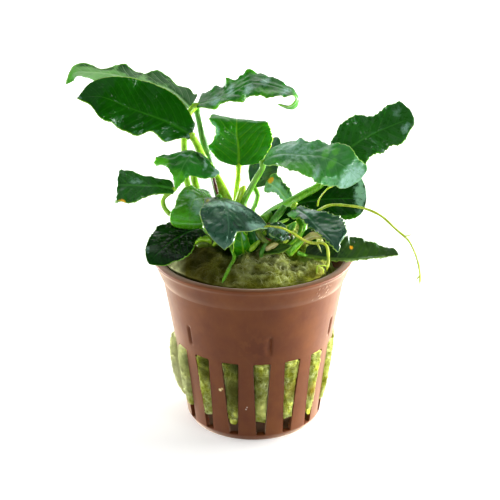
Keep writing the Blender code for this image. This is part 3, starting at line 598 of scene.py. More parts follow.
# Each blade has its rib, the way its face points, half widths at even stations of the angle whose
# cosine runs along the rib, waves (how many, height, phase on the left and right), and a look.
# bumps lift the margin (place, side, height, reach along the rib). marks are patches of colour,
# among them painted sheen, painted shadow and painted light shining through (kind, place along
# the rib, place across, reach along, reach across, strength).
LEAVES = {
    "leaf_01": dict(
        rib=[(-16.5, 8, 87.5), (-22, 10, 92), (-29, 12, 93.5), (-37.5, 13, 95.5),
             (-45.5, 12, 96.5), (-48.5, 11, 96), (-50, 9, 93.5)],
        face=[(0, 0.75, 0.66)], waves=(3.5, 1.0, 0.28, 0.3), look="shade", frill=0.3,
        left=(5.4, 4.4, 5.1, 3.6, 5.4, 4.8, 4.5, 3.9, 2.6, 2.6, 2.9, 1.6, 0.8, 0.6),
        right=(1.5, 2.8, 4, 5, 5.5, 5.8, 6, 5.8, 4.8, 4.0, 3.6, 2.8, 1.4, 0.4),
        marks=[("deep", 0.08, -0.5, 0.13, 1.1, 1.9), ("deep", 0.29, -0.7, 0.08, 0.5, 2),
               ("deep", 0.5, -0.75, 0.08, 0.5, 2.4), ("deep", 0.69, -0.95, 0.07, 0.35, 2),
               ("deep", 0.82, -0.9, 0.05, 0.25, 1.4), ("night", 0.42, -0.95, 0.035, 0.25, 0.9),
               ("night", 0.54, -0.95, 0.04, 0.2, 0.8), ("night", 0.7, -0.95, 0.05, 0.2, 0.8),
               ("young", 0.95, 0, 0.08, 1, 1)]),
    "leaf_02": dict(
        rib=[(-16, -4, 83), (-22.5, -5, 87), (-31.5, -7, 91), (-38.5, -9, 94.5),
             (-44.5, -10, 94.5)],
        face=[(-0.15, -0.75, 0.65), (-0.2, -0.7, 0.7)], waves=(3, 0.5, 0.1, 0.3), look="deep", frill=0.15,
        left=(1.6, 1.7, 2.9, 4.6, 4.7, 4.2, 6.4, 6.2, 5.8, 6.2, 5.3, 2.4, 1.2, 0.4),
        right=(3.0, 3.8, 5.2, 6.7, 8.0, 8.5, 9.2, 8.7, 7.7, 6.7, 5.4, 3.6, 1.7, 0.4),
        bumps=[(0.17, -1, -1.3, 0.07), (0.42, -1, -1.0, 0.07), (0.6, -1, -0.6, 0.05)],
        marks=[("pale", 0.16, -0.9, 0.05, 0.2, 0.5), ("pale", 0.02, -0.3, 0.03, 0.5, 0.5),
               ("pale", 0.98, 0.2, 0.03, 1, 0.5)]),
    "leaf_03": dict(
        rib=[(-15, 6, 88.5), (-10.5, 5, 90), (-6, 4, 92), (-0.5, 3, 95), (5, 2, 94.5),
             (10.5, 0.6, 92.8), (11.3, -0.4, 91), (9.4, -1.4, 89.9), (6.4, -1.8, 90.7)],
        face=[(0, -0.25, 0.95), (0, -0.25, 0.95), (0, -0.25, 0.95), (0.9, -0.2, 0.3),
              (0, -0.2, -0.95)], waves=(3.2, 0.4, 0.15, 0.3), look="gloss", crumple=0.35,
        left=(5.6, 6.0, 6.8, 6.9, 7.4, 6.0, 6.2, 5.5, 4.2, 4.4, 3.4, 2.0, 1.7, 1.0),
        right=(1.8, 2.2, 3.1, 3.6, 3.9, 5.6, 6.8, 5.6, 6.4, 6.0, 3.6, 1.9, 1.5, 0.8),
        bumps=[(0.24, -1, 1.7, 0.035), (0.43, -1, 1.7, 0.03), (0.13, -1, 0.9, 0.03),
               (0.15, 1, -0.6, 0.05), (0.35, 1, -1.4, 0.045), (0.6, 1, -1.2, 0.06)],
        marks=[("young", 0.26, -1, 0.05, 0.35, 1), ("young", 0.45, -1, 0.04, 0.3, 0.8),
               ("young", 0.17, 0.9, 0.06, 0.3, 1), ("young", 0.38, 1, 0.06, 0.3, 1),
               ("young", 0.6, 0.7, 0.1, 0.4, 0.9), ("young", 0.93, 0, 0.13, 2, 2),
               ("pale", 0.15, 0.2, 0.06, 0.5, 0.9), ("pale", 0.28, -0.1, 0.04, 0.7, 0.8),
               ("pale", 0.44, 0.4, 0.05, 0.5, 0.8), ("pale", 0.55, -0.3, 0.04, 0.6, 0.8),
               ("pale", 0.72, 0.2, 0.04, 0.8, 0.8)]),
    "leaf_04": dict(
        rib=[(-14, -1.5, 76.5), (-15.5, -5.5, 79), (-17, -9.5, 78), (-18.5, -12.5, 76),
             (-20, -13.5, 71.5)],
        face=[(0, -0.3, 0.95), (0, -0.95, 0.3)], waves=(2.5, 0.7, 0, 0.3), look="gloss",
        left=(2.5, 3.5, 4.5, 5.2, 5.8, 7.2, 8.9, 8.6, 5.4, 2.7, 1.9, 1.2, 0.7, 0.5),
        right=(4, 6, 7, 7.5, 8, 8.8, 9.7, 9.6, 7.6, 4.2, 2.0, 1.3, 0.7, 0.3), cup=(-14, -26),
        bumps=[(0.5, 1, 1.2, 0.08), (0.62, 1, -1.0, 0.06)], crumple=0.7, serrate=0.35,
        marks=[("young", 0.6, 0.9, 0.15, 0.35, 1.7), ("young", 0.88, 0, 0.15, 1, 1.2),
               ("pale", 0.47, -0.93, 0.1, 0.1, 1.3), ("pale", 0.4, -0.55, 0.12, 0.06, 1.1),
               ("pale", 0.42, 0.1, 0.03, 0.3, 0.7), ("night", 0.3, -0.3, 0.12, 0.4, 0.7)]),
    "leaf_05": dict(
        rib=[(-4, 9, 70.5), (-4, 10, 75), (-4.5, 11, 79), (-4.5, 12, 81.8), (-4.5, 14.5, 82.2),
             (-4.5, 18, 80.3)],
        face=[(0, -0.95, 0.3), (0, -0.9, 0.4), (0, -0.6, 0.8), (0, 0.3, 0.9)],
        waves=(2.5, 0.5, 0.1, 0.3), cup=(9, -7), look="bright", serrate=0.3,
        left=(1.4, 3.6, 5.7, 6.8, 7.7, 8.5, 6.4, 5.8, 7.5, 7.3, 6.0, 4, 2.5, 1),
        right=(1.8, 5.5, 6.8, 7.6, 8.9, 9.8, 9.6, 9.5, 9.0, 8.3, 6.8, 4.5, 3, 1.5),
        bumps=[(0.5, -1, 0.9, 0.07), (0.28, -1, -0.5, 0.06)],
        marks=[("pale", 0.56, -0.95, 0.1, 0.16, 1), ("pale", 0.3, -0.97, 0.04, 0.12, 0.9),
               ("pale", 0.7, 0.5, 0.04, 0.3, 0.5)]),
    "leaf_06": dict(
        rib=[(-20.8, -5.6, 68.8), (-25, -7, 70), (-29.5, -8, 70.5), (-34.6, -9, 71), (-35.6, -7.5, 69.4),
             (-33.5, -5, 67.8), (-29.5, -4, 67)],
        face=[(0, -0.65, 0.75), (0, -0.65, 0.75), (-0.5, -0.4, 0.4), (-1, 0.1, 0.1),
              (0, 0.65, -0.75)], waves=(2.5, 0.3, 0, 0.3), look="mid", crumple=0.15,
        left=(1.5, 1.9, 2.2, 2.4, 2.8, 3.6, 5.4, 5.5, 4.2, 3.0, 2.6, 2.2, 1.6, 1.0),
        right=(1.6, 2.4, 2.6, 2.7, 3.0, 3.2, 4.2, 5.2, 5.0, 4.6, 4, 3.4, 2.5, 1.2),
        marks=[("burn", 0.56, -0.97, 0.03, 0.12, 1), ("pale", 0.42, 0.35, 0.09, 0.3, 0.6),
               ("deep", 0.08, 0.2, 0.18, 1, 0.8)]),
    "leaf_07": dict(
        rib=[(-10, -1, 62), (-12, -2.5, 65), (-15.3, -6, 66.2), (-16.3, -10.2, 64.8),
             (-16.5, -13.5, 62.6), (-16.5, -13, 60.2)],
        face=[(0, -0.2, 0.98), (0, -0.7, 0.7), (0, -0.98, 0.1)], waves=(2.5, 0.4, 0, 0.3),
        cup=(-5, -5), look="fresh", crumple=0.2,
        left=(3.4, 4.2, 4.8, 5.0, 5.0, 5.0, 4.8, 4.7, 4.6, 4.6, 4.4, 4.0, 3.5, 2.5),
        right=(4, 4.6, 5.0, 5.4, 5.4, 5.0, 4.7, 4.5, 4.5, 5.2, 5.3, 5.0, 4.4, 3),
        marks=[("young", 0.8, 0.3, 0.13, 1.2, 1), ("pale", 0.54, -0.6, 0.2, 0.6, 1.9),
               ("pale", 0.44, -0.1, 0.07, 0.9, 1), ("pale", 0.62, -0.2, 0.05, 0.3, 0.8)]),
    "leaf_08": dict(
        rib=[(-9, -5, 66.5), (-7.5, -10, 66), (-6.5, -15, 63.5), (-6.5, -18.5, 60.5),
             (-7.5, -19.5, 57)], frill=0.2,
        face=[(0, -0.6, 0.8), (0, -0.9, 0.4)], waves=(2.5, 0.4, 0, 0.3), look="dusk",
        left=(3.9, 3.8, 4.0, 5.6, 9.4, 10.8, 8.4, 5.9, 2.6, 2.1, 1.8, 1.2, 0.6, 0.3),
        right=(4.0, 4.3, 4.8, 5.4, 5.9, 6.5, 7.2, 7.1, 6.8, 6.3, 5.3, 3.8, 2.0, 0.4),
        cup=(-25, 12), sweep=(30, 0), crumple=0.4,
        marks=[("burn", 0.1, 0.75, 0.06, 0.15, 0.5), ("pale", 0.43, -0.85, 0.1, 0.22, 1.3),
               ("pale", 0.25, 0.2, 0.07, 0.9, 1.1),
               ("pale", 0.13, -0.6, 0.06, 0.5, 0.7), ("night", 0.55, -0.5, 0.12, 0.5, 0.6)]),
    "leaf_09": dict(
        rib=[(-13.8, -8.5, 58.8), (-16.5, -11, 59), (-21, -16, 58), (-24.5, -21, 56.5),
             (-26.5, -23, 54.5)],
        face=[(-0.2, -0.6, 0.8), (-0.3, -0.8, 0.5)], waves=(3, 0.5, 0, 0.3), look="dark",
        left=(3.0, 3.1, 3.4, 3.5, 3.6, 4.9, 6.1, 6.2, 6.6, 6.4, 4.9, 3.9, 2.2, 0.8),
        right=(2.8, 2.8, 3.3, 4.6, 5.4, 5.8, 6.8, 6.0, 5.1, 4.7, 3.9, 2.8, 1.7, 0.8),
        crumple=0.2, serrate=0.15,
        marks=[("pale", 0.85, 0.8, 0.08, 0.25, 0.5), ("pale", 0.12, -0.9, 0.06, 0.3, 0.6),
               ("night", 0.08, 0, 0.25, 2, 1.8), ("night", 0.5, -0.6, 0.34, 0.85, 1.9)]),
    "leaf_10": dict(
        rib=[(2.5, -3, 75.5), (6.5, -5, 78), (12, -7, 78.5), (18, -9, 78.5), (23.5, -11, 76.5),
             (27.5, -10, 72.5)],
        face=[(0, -0.5, 0.87), (0, -0.5, 0.87), (0, -0.98, 0.15)], waves=(3, 0.7, 0, 0.3),
        left=(0.8, 1.7, 2.9, 4.0, 5.8, 5.3, 4.6, 5.3, 5.1, 5.4, 4.1, 4.0, 4.0, 2.5),
        right=(1.1, 2.1, 3.1, 3.4, 5.0, 6.4, 6.4, 7.4, 8.2, 6.9, 5.4, 5.1, 3.9, 1.7),
        bumps=[(0.33, -1, 1.2, 0.035), (0.5, -1, 1.0, 0.035), (0.65, -1, 0.8, 0.04)],
        look="silver", crumple=0.3, serrate=0.2,
        marks=[("young", 0.42, 0.85, 0.22, 0.4, 1.5), ("young", 0.6, -0.25, 0.03, 0.35, 1.3),
               ("young", 0.69, 0.1, 0.03, 0.3, 1.2), ("young", 0.67, -0.5, 0.03, 0.25, 1.2),
               ("young", 0.1, -0.5, 0.06, 0.4, 0.8), ("pale", 0.92, 0.2, 0.09, 1.2, 1.1),
               ("pale", 0.3, -0.3, 0.25, 0.9, 0.75), ("pale", 0.6, 0.7, 0.06, 0.3, 0.7)]),
    "leaf_11": dict(
        rib=[(22.5, 8, 72.5), (26.5, 8, 76), (31, 8, 79), (36.5, 7, 82), (43, 6, 85)],
        face=[(-0.1, -0.75, 0.65), (0, -0.75, 0.65)], waves=(3, 0.6, 0, 0.3), look="mid",
        left=(2.5, 4, 5, 5.8, 7.4, 7.5, 6.9, 5.3, 5.3, 5.9, 5.9, 6.1, 3.8, 2.4),
        right=(2.5, 5, 7.5, 8.0, 6.5, 5.8, 5.3, 6.3, 5.5, 6.0, 5.0, 3.6, 2.6, 1.7), serrate=0.25,
        marks=[("pale", 0.88, 0.5, 0.06, 0.35, 0.7), ("pale", 0.85, -0.5, 0.12, 0.5, 0.3)]),
    "leaf_12": dict(
        rib=[(10, 9, 59), (14.5, 8, 60.5), (19.5, 7, 61.5), (25, 6, 62), (31, 5, 62.5)],
        face=[(0, -0.8, 0.6), (0.2, -0.8, 0.6)], waves=(3, 0.6, 0, 0.3), look="dark",
        left=(1, 1.5, 2, 2.6, 3.2, 4.2, 5.4, 6.9, 7.3, 7.4, 7.2, 6.6, 4.8, 2.6),
        right=(0.8, 1, 1.3, 1.8, 2.4, 3.2, 3.8, 4.6, 5.5, 6.2, 5.9, 5.2, 4, 1.8), cup=(5, 5),
        serrate=0.2, marks=[("pale", 0.93, -0.2, 0.09, 1.0, 1), ("young", 0.85, -0.95, 0.1, 0.15, 0.7),
               ("young", 0.8, 0.9, 0.15, 0.2, 0.5)]),
    "leaf_13": dict(
        rib=[(0, 17, 62), (2.5, 18, 66), (4.5, 19, 70.5), (7, 20, 75.5)],
        face=[(0, -0.9, 0.4)], waves=(2.5, 0.6, 0, 0.3), cup=(15, 15), look="dusk", crumple=0.35,
        left=(2, 4, 4, 3, 1.5), right=(2, 4, 4, 3, 1.5),
        marks=[("pale", 0.5, -0.1, 0.2, 0.3, 0.7), ("night", 0.4, 0.7, 0.4, 0.4, 0.8)]),
    "leaf_14": dict(
        rib=[(10, 12, 58.6), (8.3, 12.5, 60.9), (6.3, 13, 63.1), (3.6, 13.5, 64.4)],
        face=[(0.1, -0.8, 0.6)], waves=(2.5, 0.2, 0, 0.3), cup=(8, 8), look="dull",
        left=(0.9, 1.1, 1.2, 1.3, 2.2, 3.0, 2.4), right=(1.4, 2.2, 2.5, 2.6, 2.9, 3.3, 2.4), quilt=0.05,
        serrate=0.3, marks=[("pale", 0.4, -0.3, 0.5, 0.8, 1.7), ("burn", 0.9, 0.3, 0.06, 0.26, 2.2),
               ("deep", 0.4, 0.85, 0.5, 0.35, 1)]),
    "leaf_15": dict(
        rib=[(11, -2, 62), (14, -6, 61.5), (17, -10, 59.5), (20, -14, 57.5), (22, -16, 55)],
        face=[(0.1, -0.6, 0.8), (0.3, -0.85, 0.45)], waves=(3, 0.5, 0, 0.3), look="dusk",
        left=(1.9, 1.9, 1.9, 2.3, 3.3, 4.3, 5.7, 7.2, 7.0, 5.9, 5.0, 2.2, 1.2, 0.6),
        right=(2.6, 3.2, 3.3, 2.9, 2.4, 2.1, 1.7, 1.5, 1.4, 1.2, 0.9, 0.7, 0.5, 0.4),
        crumple=0.5, serrate=0.5,
        marks=[("pale", 0.25, -0.3, 0.1, 0.6, 0.6), ("young", 0.1, 0.8, 0.14, 0.6, 1)]),
    "leaf_16": dict(
        rib=[(13.5, -12, 52.5), (20, -12, 51.5), (27, -11, 51), (33.5, -9, 50.8),
             (38.8, -8, 51)],
        face=[(0, -0.75, 0.66)], waves=(3, 0.4, 0, 0.3), cup=(0, -30), look="olive",
        left=(2.4, 3.2, 3.8, 4.5, 5.1, 5.8, 6.3, 6.5, 5.7, 4.3, 3.1, 2.5, 2.0, 1.1),
        right=(0.5, 0.5, 0.5, 0.6, 0.6, 0.7, 0.5, 0.4, 0.4, 0.3, 0.3, 0.3, 0.2, 0.2),
        crumple=0.15, serrate=0.2, frill=0.8,
        marks=[("burn", 0.5, -0.5, 0.018, 0.07, 1.6), ("night", 0.1, -0.3, 0.28, 1.5, 1.6)]),
    "leaf_17": dict(
        rib=[(3.5, -10, 57), (5.5, -12, 60), (7, -13.5, 59.5), (8.5, -14, 57.5)],
        face=[(0, -0.7, 0.7)], waves=(2, 0.6, 0, 0.3), cup=(10, 10), look="wet", crumple=0.8,
        left=(1, 2, 2, 2, 1), right=(1, 2, 2.5, 2, 1),
        marks=[("pale", 0.35, 0.2, 0.16, 0.6, 1.3), ("pale", 0.7, -0.4, 0.12, 0.4, 1.2)]),
    "leaf_18": dict(
        rib=[(2.5, -10.5, 53.5), (5, -12.5, 54), (8, -13, 55), (10, -13, 55.5)],
        face=[(0, -0.5, 0.8)], waves=(2, 0.2, 0, 0.3), cup=(10, 10), look="olive",
        left=(1, 1.7, 1.7, 1.3, 0.7), right=(1, 1.7, 1.7, 1.3, 0.7)),
    "leaf_19": dict(
        rib=[(14.4, -9.4, 54.6), (14.8, -9.8, 56.2), (15.4, -10.2, 57.8), (16.4, -10.5, 59)],
        face=[(0, -0.8, 0.6)], waves=(2, 0.2, 0, 0.3), cup=(10, 10), look="dark",
        left=(1.2, 2, 2.1, 1.8, 1), right=(1.2, 2, 2.1, 1.8, 1)),
    "leaf_20": dict(
        rib=[(12.8, -12.6, 56.2), (14.3, -12.9, 57.5), (15.9, -13.1, 58.2), (17.6, -13.1, 58)],
        face=[(0, -0.7, 0.7)], waves=(2, 0.1, 0, 0.3), look="dead",
        left=(0.6, 1.1, 1.3, 1.1, 0.5), right=(0.4, 0.7, 0.9, 0.7, 0.4)),
}
# Colours of the marks. The pale bluish one is painted sheen, the reflection of light on the wet wax. The
# near-black one is painted shadow where leaves shade each other. The lime one is partly young lime tissue
# and partly painted light shining through the blade. The dark green one is partly the darker upper side
# showing at folds and partly painted shade. The orange one is real scorch spots.
MARKS = {"young": "#4FA81A", "pale": "#8DB8A6", "burn": "#FFB41A", "deep": "#123E06", "night": "#031200"}


def smooth_curve(points, t):
    """Catmull-Rom curve through the points, for t from 0 to 1."""
    p = np.asarray(points, float)
    if p.ndim == 1:
        p = p[:, None]
    last = len(p) - 1
    ends = np.vstack([2 * p[0] - p[1], p, 2 * p[-1] - p[-2]])
    x = np.clip(np.asarray(t, float), 0, 1) * last
    i = np.minimum(x.astype(int), last - 1)
    f = (x - i)[:, None]
    a, b, c, d = ends[i], ends[i + 1], ends[i + 2], ends[i + 3]
    cubic = 3 * b - a - 3 * c + d
    return 0.5 * (2 * b + (c - a) * f + (2 * a - 5 * b + 4 * c - d) * f**2 + cubic * f**3)


def even_points(points, steps):
    """Equally spaced points along the smooth curve, and its length."""
    fine = smooth_curve(points, np.linspace(0, 1, 400))
    run = np.concatenate([[0], np.cumsum(np.linalg.norm(np.diff(fine, axis=0), axis=1))])
    wanted = np.linspace(0, run[-1], steps + 1)
    return np.stack([np.interp(wanted, run, fine[:, k]) for k in range(3)], axis=1), run[-1]


def soften(values, width):
    """Running mean along the first axis, over about width rows on each side."""
    kernel = np.hanning(2 * width + 3)
    kernel /= kernel.sum()
    padded = np.pad(values, ((width + 1, width + 1), (0, 0)), mode="edge")
    return np.stack([np.convolve(padded[:, k], kernel, "valid") for k in range(values.shape[1])], 1)


def half_width(stations, u):
    """Half width at u, closing to a point at the base and at the tip of the blade."""
    tau = np.arccos(1 - 2 * np.clip(u, 0, 1)) / math.pi
    return np.maximum(smooth_curve([0.0, *stations, 0.0], tau)[:, 0], NARROWEST)


def ripple(u, count, seed):
    """Uneven waves along the margin: three sines of random phase, about count to the blade."""
    draw = np.random.default_rng(seed)
    waves = [np.sin(2 * math.pi * (count * k * u + draw.uniform())) / k for k in (1, 1.7, 2.9)]
    return sum(waves) / 2


def blade(leaf, number):
    """Points of a closed blade, and how much vein, rib, edge and patch there is at each.

    A point is the rib at u, plus the side vector times v times the half width, plus the upper
    normal times the lift of cup, waves, frill, puckers and vein relief, plus or minus half of
    the thickness.
    """
    length = even_points(leaf["rib"], 400)[1]
    widest = max(max(leaf["left"]), max(leaf["right"]))
    rows = max(24, int(length / ROW_MM))
    cols = 2 * max(10, int(widest / COLUMN_MM))
    rib, _ = even_points(leaf["rib"], rows)
    u = np.linspace(0, 1, rows + 1)
    along = unit(soften(unit(np.gradient(rib, axis=0)), max(1, int(0.7 / ROW_MM))))
    faces = leaf["face"] * 2 if len(leaf["face"]) == 1 else leaf["face"]
    face = smooth_curve(faces, u)
    normal = unit(face - (face * along).sum(1, keepdims=True) * along)
    side = np.cross(along, normal)
    v = np.concatenate([np.linspace(-1, 1, cols + 1), np.linspace(1, -1, cols + 1)[1:-1]])
    v = np.sign(v) * np.abs(v) ** 0.9
    lower = np.arange(len(v)) > cols
    U, V = np.meshgrid(u, v, indexing="ij")
    A = np.abs(V)
    left = V < 0
    swell = np.sin(math.pi * U) ** 0.5

    tooth = leaf.get("serrate", 0.08)
    frills, widths = [], []
    for k, key in enumerate(("left", "right")):
        teeth = ripple(u, length / TOOTH_MM, number + 90 + 7 * k) * tooth * swell[:, 0]
        frills.append(ripple(u, length / FRILL_MM, number + 50 * k)[:, None])
        widths.append((half_width(leaf[key], u) + teeth)[:, None])
    width = np.where(left, *widths)
    frill = np.where(left, *frills)
    cup = np.radians(np.where(left, *leaf.get("cup", (0, 0))))
    sweep = np.tan(np.radians(np.where(left, *leaf.get("sweep", (0, 0)))))
    count, high, left_phase, right_phase = leaf["waves"]
    phase = np.where(left, left_phase, right_phase)
    lift = A * width * np.sin(cup)
    lift += high * swell**1.2 * A**2.2 * np.sin(2 * math.pi * (count * U + phase))
    lift += leaf.get("frill", 0.4) * frill * A**3 * swell
    for place, way, bulge, reach in leaf.get("bumps", ()):
        lift += bulge * np.exp(-(((U - place) / reach) ** 2)) * A**2.5 * (V * way > 0)

    spot = np.stack([U * length, V * width, np.full_like(U, 5.3 * number)], -1)
    from_rib = A * width
    away = np.clip(from_rib / 1.2, 0, 1) * np.clip((1 - A) * 6, 0.25, 1)
    crumple = leaf.get("crumple", 0.12)
    pucker = (lumps(spot, 2.6, 20) + 0.4 * lumps(spot, 1.1, 21)) * crumple * away * swell

    veins = length / VEIN_STEP
    bow = (0.75 * from_rib + 0.04 * from_rib**2) / length
    q = veins * (U - bow) + np.where(left, 0.0, 0.4) + 0.12 * lumps(spot, 4.0, 22)
    fade = np.clip((1 - A) * 5, 0, 1) * np.clip(from_rib / 0.5, 0, 1) * swell
    vein_mm = np.abs((q + 0.5) % 1 - 0.5) * VEIN_STEP
    fine_mm = np.abs((FINE_VEINS * q + 0.5) % 1 - 0.5) * VEIN_STEP / FINE_VEINS
    quilt = leaf.get("quilt", 0.07) * (np.sin(math.pi * q) ** 2 - 0.5) * fade
    vein = np.exp(-((vein_mm / VEIN_WIDTH) ** 2)) + 0.4 * np.exp(-((fine_mm / FINE_WIDTH) ** 2))
    vein *= fade
    midrib = np.exp(-((from_rib / (MIDRIB_WIDTH * (1.15 - U))) ** 2)) * np.clip((1 - U) * 6, 0, 1)
    ridge = np.exp(-((from_rib / RIDGE_WIDTH) ** 2)) * (1 - 0.85 * U)
    thick = BLADE_EDGE + (BLADE_THICK - BLADE_EDGE) * (1 - A**4)
    thick *= np.clip(np.minimum(U, 1 - U) * length / 0.6, 0.25, 1)
    upper = thick / 2 - RIB_GROOVE * midrib + quilt - 0.03 * vein + pucker
    under = -thick / 2 - RIB_RIDGE * ridge + quilt * 0.8 - 0.05 * vein + pucker
    rise = np.where(lower[None], under, upper)
    rise = np.where(A > 0.999, 0, rise)
    across = V * width * np.cos(cup)
    points = rib[:, None] + side[:, None] * across[..., None]
    points += normal[:, None] * (lift + rise)[..., None]
    points += along[:, None] * (np.abs(across) * sweep)[..., None]

    edge = np.clip(1 - (1 - A) * np.maximum(width, 0.3) / PALE_EDGE, 0, 1)
    layers = {"vein": vein, "midrib": midrib, "edge": edge, **{kind: U * 0 for kind in MARKS}}
    for kind, place, over, reach, spread, strength in leaf.get("marks", ()):
        patch = np.exp(-(((U - place) / reach) ** 2) - ((V - over) / spread) ** 2) * strength
        layers[kind] = np.maximum(layers[kind], patch)
    ring = len(v)
    faces = grid_faces(rows + 1, ring, True)
    picks = np.tile((np.arange(ring) >= cols).astype(int), rows)
    caps = [list(range(ring))[::-1], list(range(rows * ring, rows * ring + ring))]
    return points.reshape(-1, 3), [list(f) for f in faces] + caps, [*picks, 1, 1], layers


# Leaf tissue: green flesh under a clear waxy cuticle with a film of water, so the gloss is sharp
# and breaks up into glints on beads and puckers. The lime of light shining through the thin
# margin is painted into the margin's colour, and marks paint sheen, shadow and shade on it.
# The pores of the skin are drawn at 0.55 mm, coarser than they are, so that they show.
# Each look is deep green, full green, vein, painted lime of the backlit margin, roughness, wet
# film, glow and shine.
LOOKS = {
    "deep": ("#0A4200", "#105200", "#2A6C12", "#9CCF3E", 0.22, 0.2, 0.1, 0.12),
    "dark": ("#052A00", "#083800", "#205A0C", "#6EA82C", 0.2, 0.3, 0.05, 0.08),
    "wet": ("#12380E", "#1C4C18", "#5A8464", "#5A8C4A", 0.16, 1.0, 0.05, 1.0),
    "dusk": ("#123A22", "#1A462C", "#3C6A4A", "#A6D24E", 0.3, 0.7, 0.05, 1.0),
    "mid": ("#164E0A", "#1E5E0E", "#3E8228", "#92C83A", 0.28, 0.4, 0.12, 0.35),
    "gloss": ("#1E6616", "#287A1C", "#4A943A", "#96CC3C", 0.3, 0.16, 0.12, 0.15),
    "fresh": ("#3C7E0E", "#4E9416", "#62A82C", "#A8D848", 0.24, 0.6, 0.2, 0.6),
    "olive": ("#24420A", "#2E520C", "#567A20", "#86A830", 0.35, 0.4, 0.12, 0.4),
    "silver": ("#2A7422", "#388A2C", "#5C9E50", "#9CCC4A", 0.32, 0.45, 0.1, 1.0),
    "bright": ("#257200", "#2F8600", "#7CB414", "#BCE832", 0.35, 0.3, 0.3, 0.2),
    "shade": ("#64964E", "#7CAA66", "#A6C892", "#7FB040", 0.5, 0.1, 0.3, 0.4),
    "dull": ("#5C8F46", "#70A058", "#9BC284", "#8FBC4C", 0.5, 0.1, 0.25, 0.4),
    "dead": ("#A0984E", "#C8C47E", "#E0DCA8", "#A89A58", 0.6, 0.1, 0.2, 0.4),
}
BEAD_MM = 1.0
leaf_mats = {}
for look, (deep, full, veined, margin_backlight, rough, film, glow, shine) in LOOKS.items():
    mat, tree, shader = start_material(
        f"wet leaf, {look}", Roughness=rough, IOR=1.42, Coat_Weight=film, Coat_Roughness=0.04,
        Coat_IOR=1.4, Subsurface_Weight=glow, Subsurface_Scale=0.0012,
        Subsurface_Radius=(0.5, 1.0, 0.2), Specular_IOR_Level=shine, Specular_Tint=linear("#C4FFEA"),
    )
    part = {
        key: add(tree, "Attribute", out="Fac", attribute_name=key)
        for key in ("vein", "midrib", "edge", *MARKS)
    }
    place = add(tree, "TexCoord", out="Object")
    mottle, fleck, torn, gleam, pores, wetted, swirl = [
        add(tree, "TexNoise", {"Vector": place, "Scale": 1 / (mm * MM), "Detail": detail, "Roughness": grit})
        for mm, detail, grit in (
            (6.0, 4.0, 0.55), (0.9, 3.0, 0.55), (1.3, 4.0, 0.7), (1.5, 3.0, 0.55), (0.55, 4.0, 0.65),
            (4.0, 2.0, 0.55), (1.3, 2.0, 0.55))
    ]
    paint = cover(tree, deep, mottle, 0.35, 0.65, 1, full)
    paint = cover(tree, paint, fleck, 0.45, 0.8, 0.35, deep)
    tear = add(tree, "MapRange", [torn, 0.35, 0.65, 0.4, 1.3])
    # Each mark is laid over the green: painted sheen, painted shadow, painted light shining through and
    # painted shade, besides real scorch spots and the darker upper side at folds
    for kind, colour in MARKS.items():
        broken = add(tree, "Math", [part[kind], tear], operation="MULTIPLY")
        paint = cover(tree, paint, broken, 0.2, 0.7, 0.9, colour)
    paint = cover(tree, paint, part["vein"], 0, 1, 0.35, veined)
    paint = cover(tree, paint, part["midrib"], 0.2, 0.9, 0.7, veined)
    # Painted lime of light shining through the thin margin
    paint = cover(tree, paint, part["edge"], 0.2, 1, 0.85, margin_backlight)
    tree.links.new(paint, shader.inputs["Base Color"])
    gloss = add(tree, "MapRange", [gleam, 0.3, 0.7, rough - 0.05, rough + 0.08])
    tree.links.new(gloss, shader.inputs["Roughness"])
    skin = add(tree, "Bump", {"Height": pores, "Strength": 0.4, "Distance": 0.08 * MM})
    tree.links.new(skin, shader.inputs["Normal"])
    cells = {"Vector": place, "Scale": 1 / (BEAD_MM * MM)}
    dome = add(tree, "MapRange", [add(tree, "TexVoronoi", cells, feature="SMOOTH_F1"), 0.1, 0.5, 1, 0])
    where = add(tree, "MapRange", [wetted, 0.5, 0.6, 0, 1])
    beads = add(tree, "Math", [dome, where], operation="MULTIPLY")
    water = add(tree, "Math", [swirl, 0.6, beads], operation="MULTIPLY_ADD")
    film_bump = add(tree, "Bump", {"Height": water, "Strength": 1.0, "Distance": 0.35 * MM})
    tree.links.new(film_bump, shader.inputs["Coat Normal"])
    leaf_mats[look] = mat

# The materials of the upper and lower side, where the lower one isn't plain dull green
UNDERSIDES = {"shade": ("mid", "shade"), "dead": ("dead", "dead")}
for number, (name, leaf) in enumerate(LEAVES.items()):
    points, faces, picks, layers = blade(leaf, number)
    pair = [leaf_mats[k] for k in UNDERSIDES.get(leaf["look"], (leaf["look"], "dull"))]
    make_piece(f"{name}_blade", points, faces, pair, [name], picks, layers)


# Rhizome
# The creeping stem that all stalks and roots grow from: a fleshy green rod with leaf scars,
# lying on the wool with its growing bud at the left.
RHIZOME = [
    (-15.6, -8.3, 55.0, 0.5), (-14.8, -8.2, 55.0, 1.2), (-13.5, -8.0, 54.8, 1.7),
    (-9.0, -7.0, 55.2, 2.4), (-2.0, -6.5, 55.7, 3.0), (4.5, -6.5, 55.7, 3.0),
    (8.0, -7.0, 55.4, 2.5), (10.2, -7.3, 55.2, 1.3), (10.8, -7.4, 55.1, 0.5),
]
ROD_SIDES = 32
ROD_STEPS = 90


def rod(points, radii, sides=ROD_SIDES, over=(0.05, 0.1, 1.0), shape=None):
    """One tube with closed ends; shape multiplies the radius at each point and side."""
    radii = radii[:, None] * (np.ones((1, sides)) if shape is None else shape)
    verts, faces = tubes(points[None], radii[None], sides, over)
    end = len(verts) - sides
    caps = [list(range(sides)), list(range(end, end + sides))[::-1]]
    return verts, [list(f) for f in faces] + caps


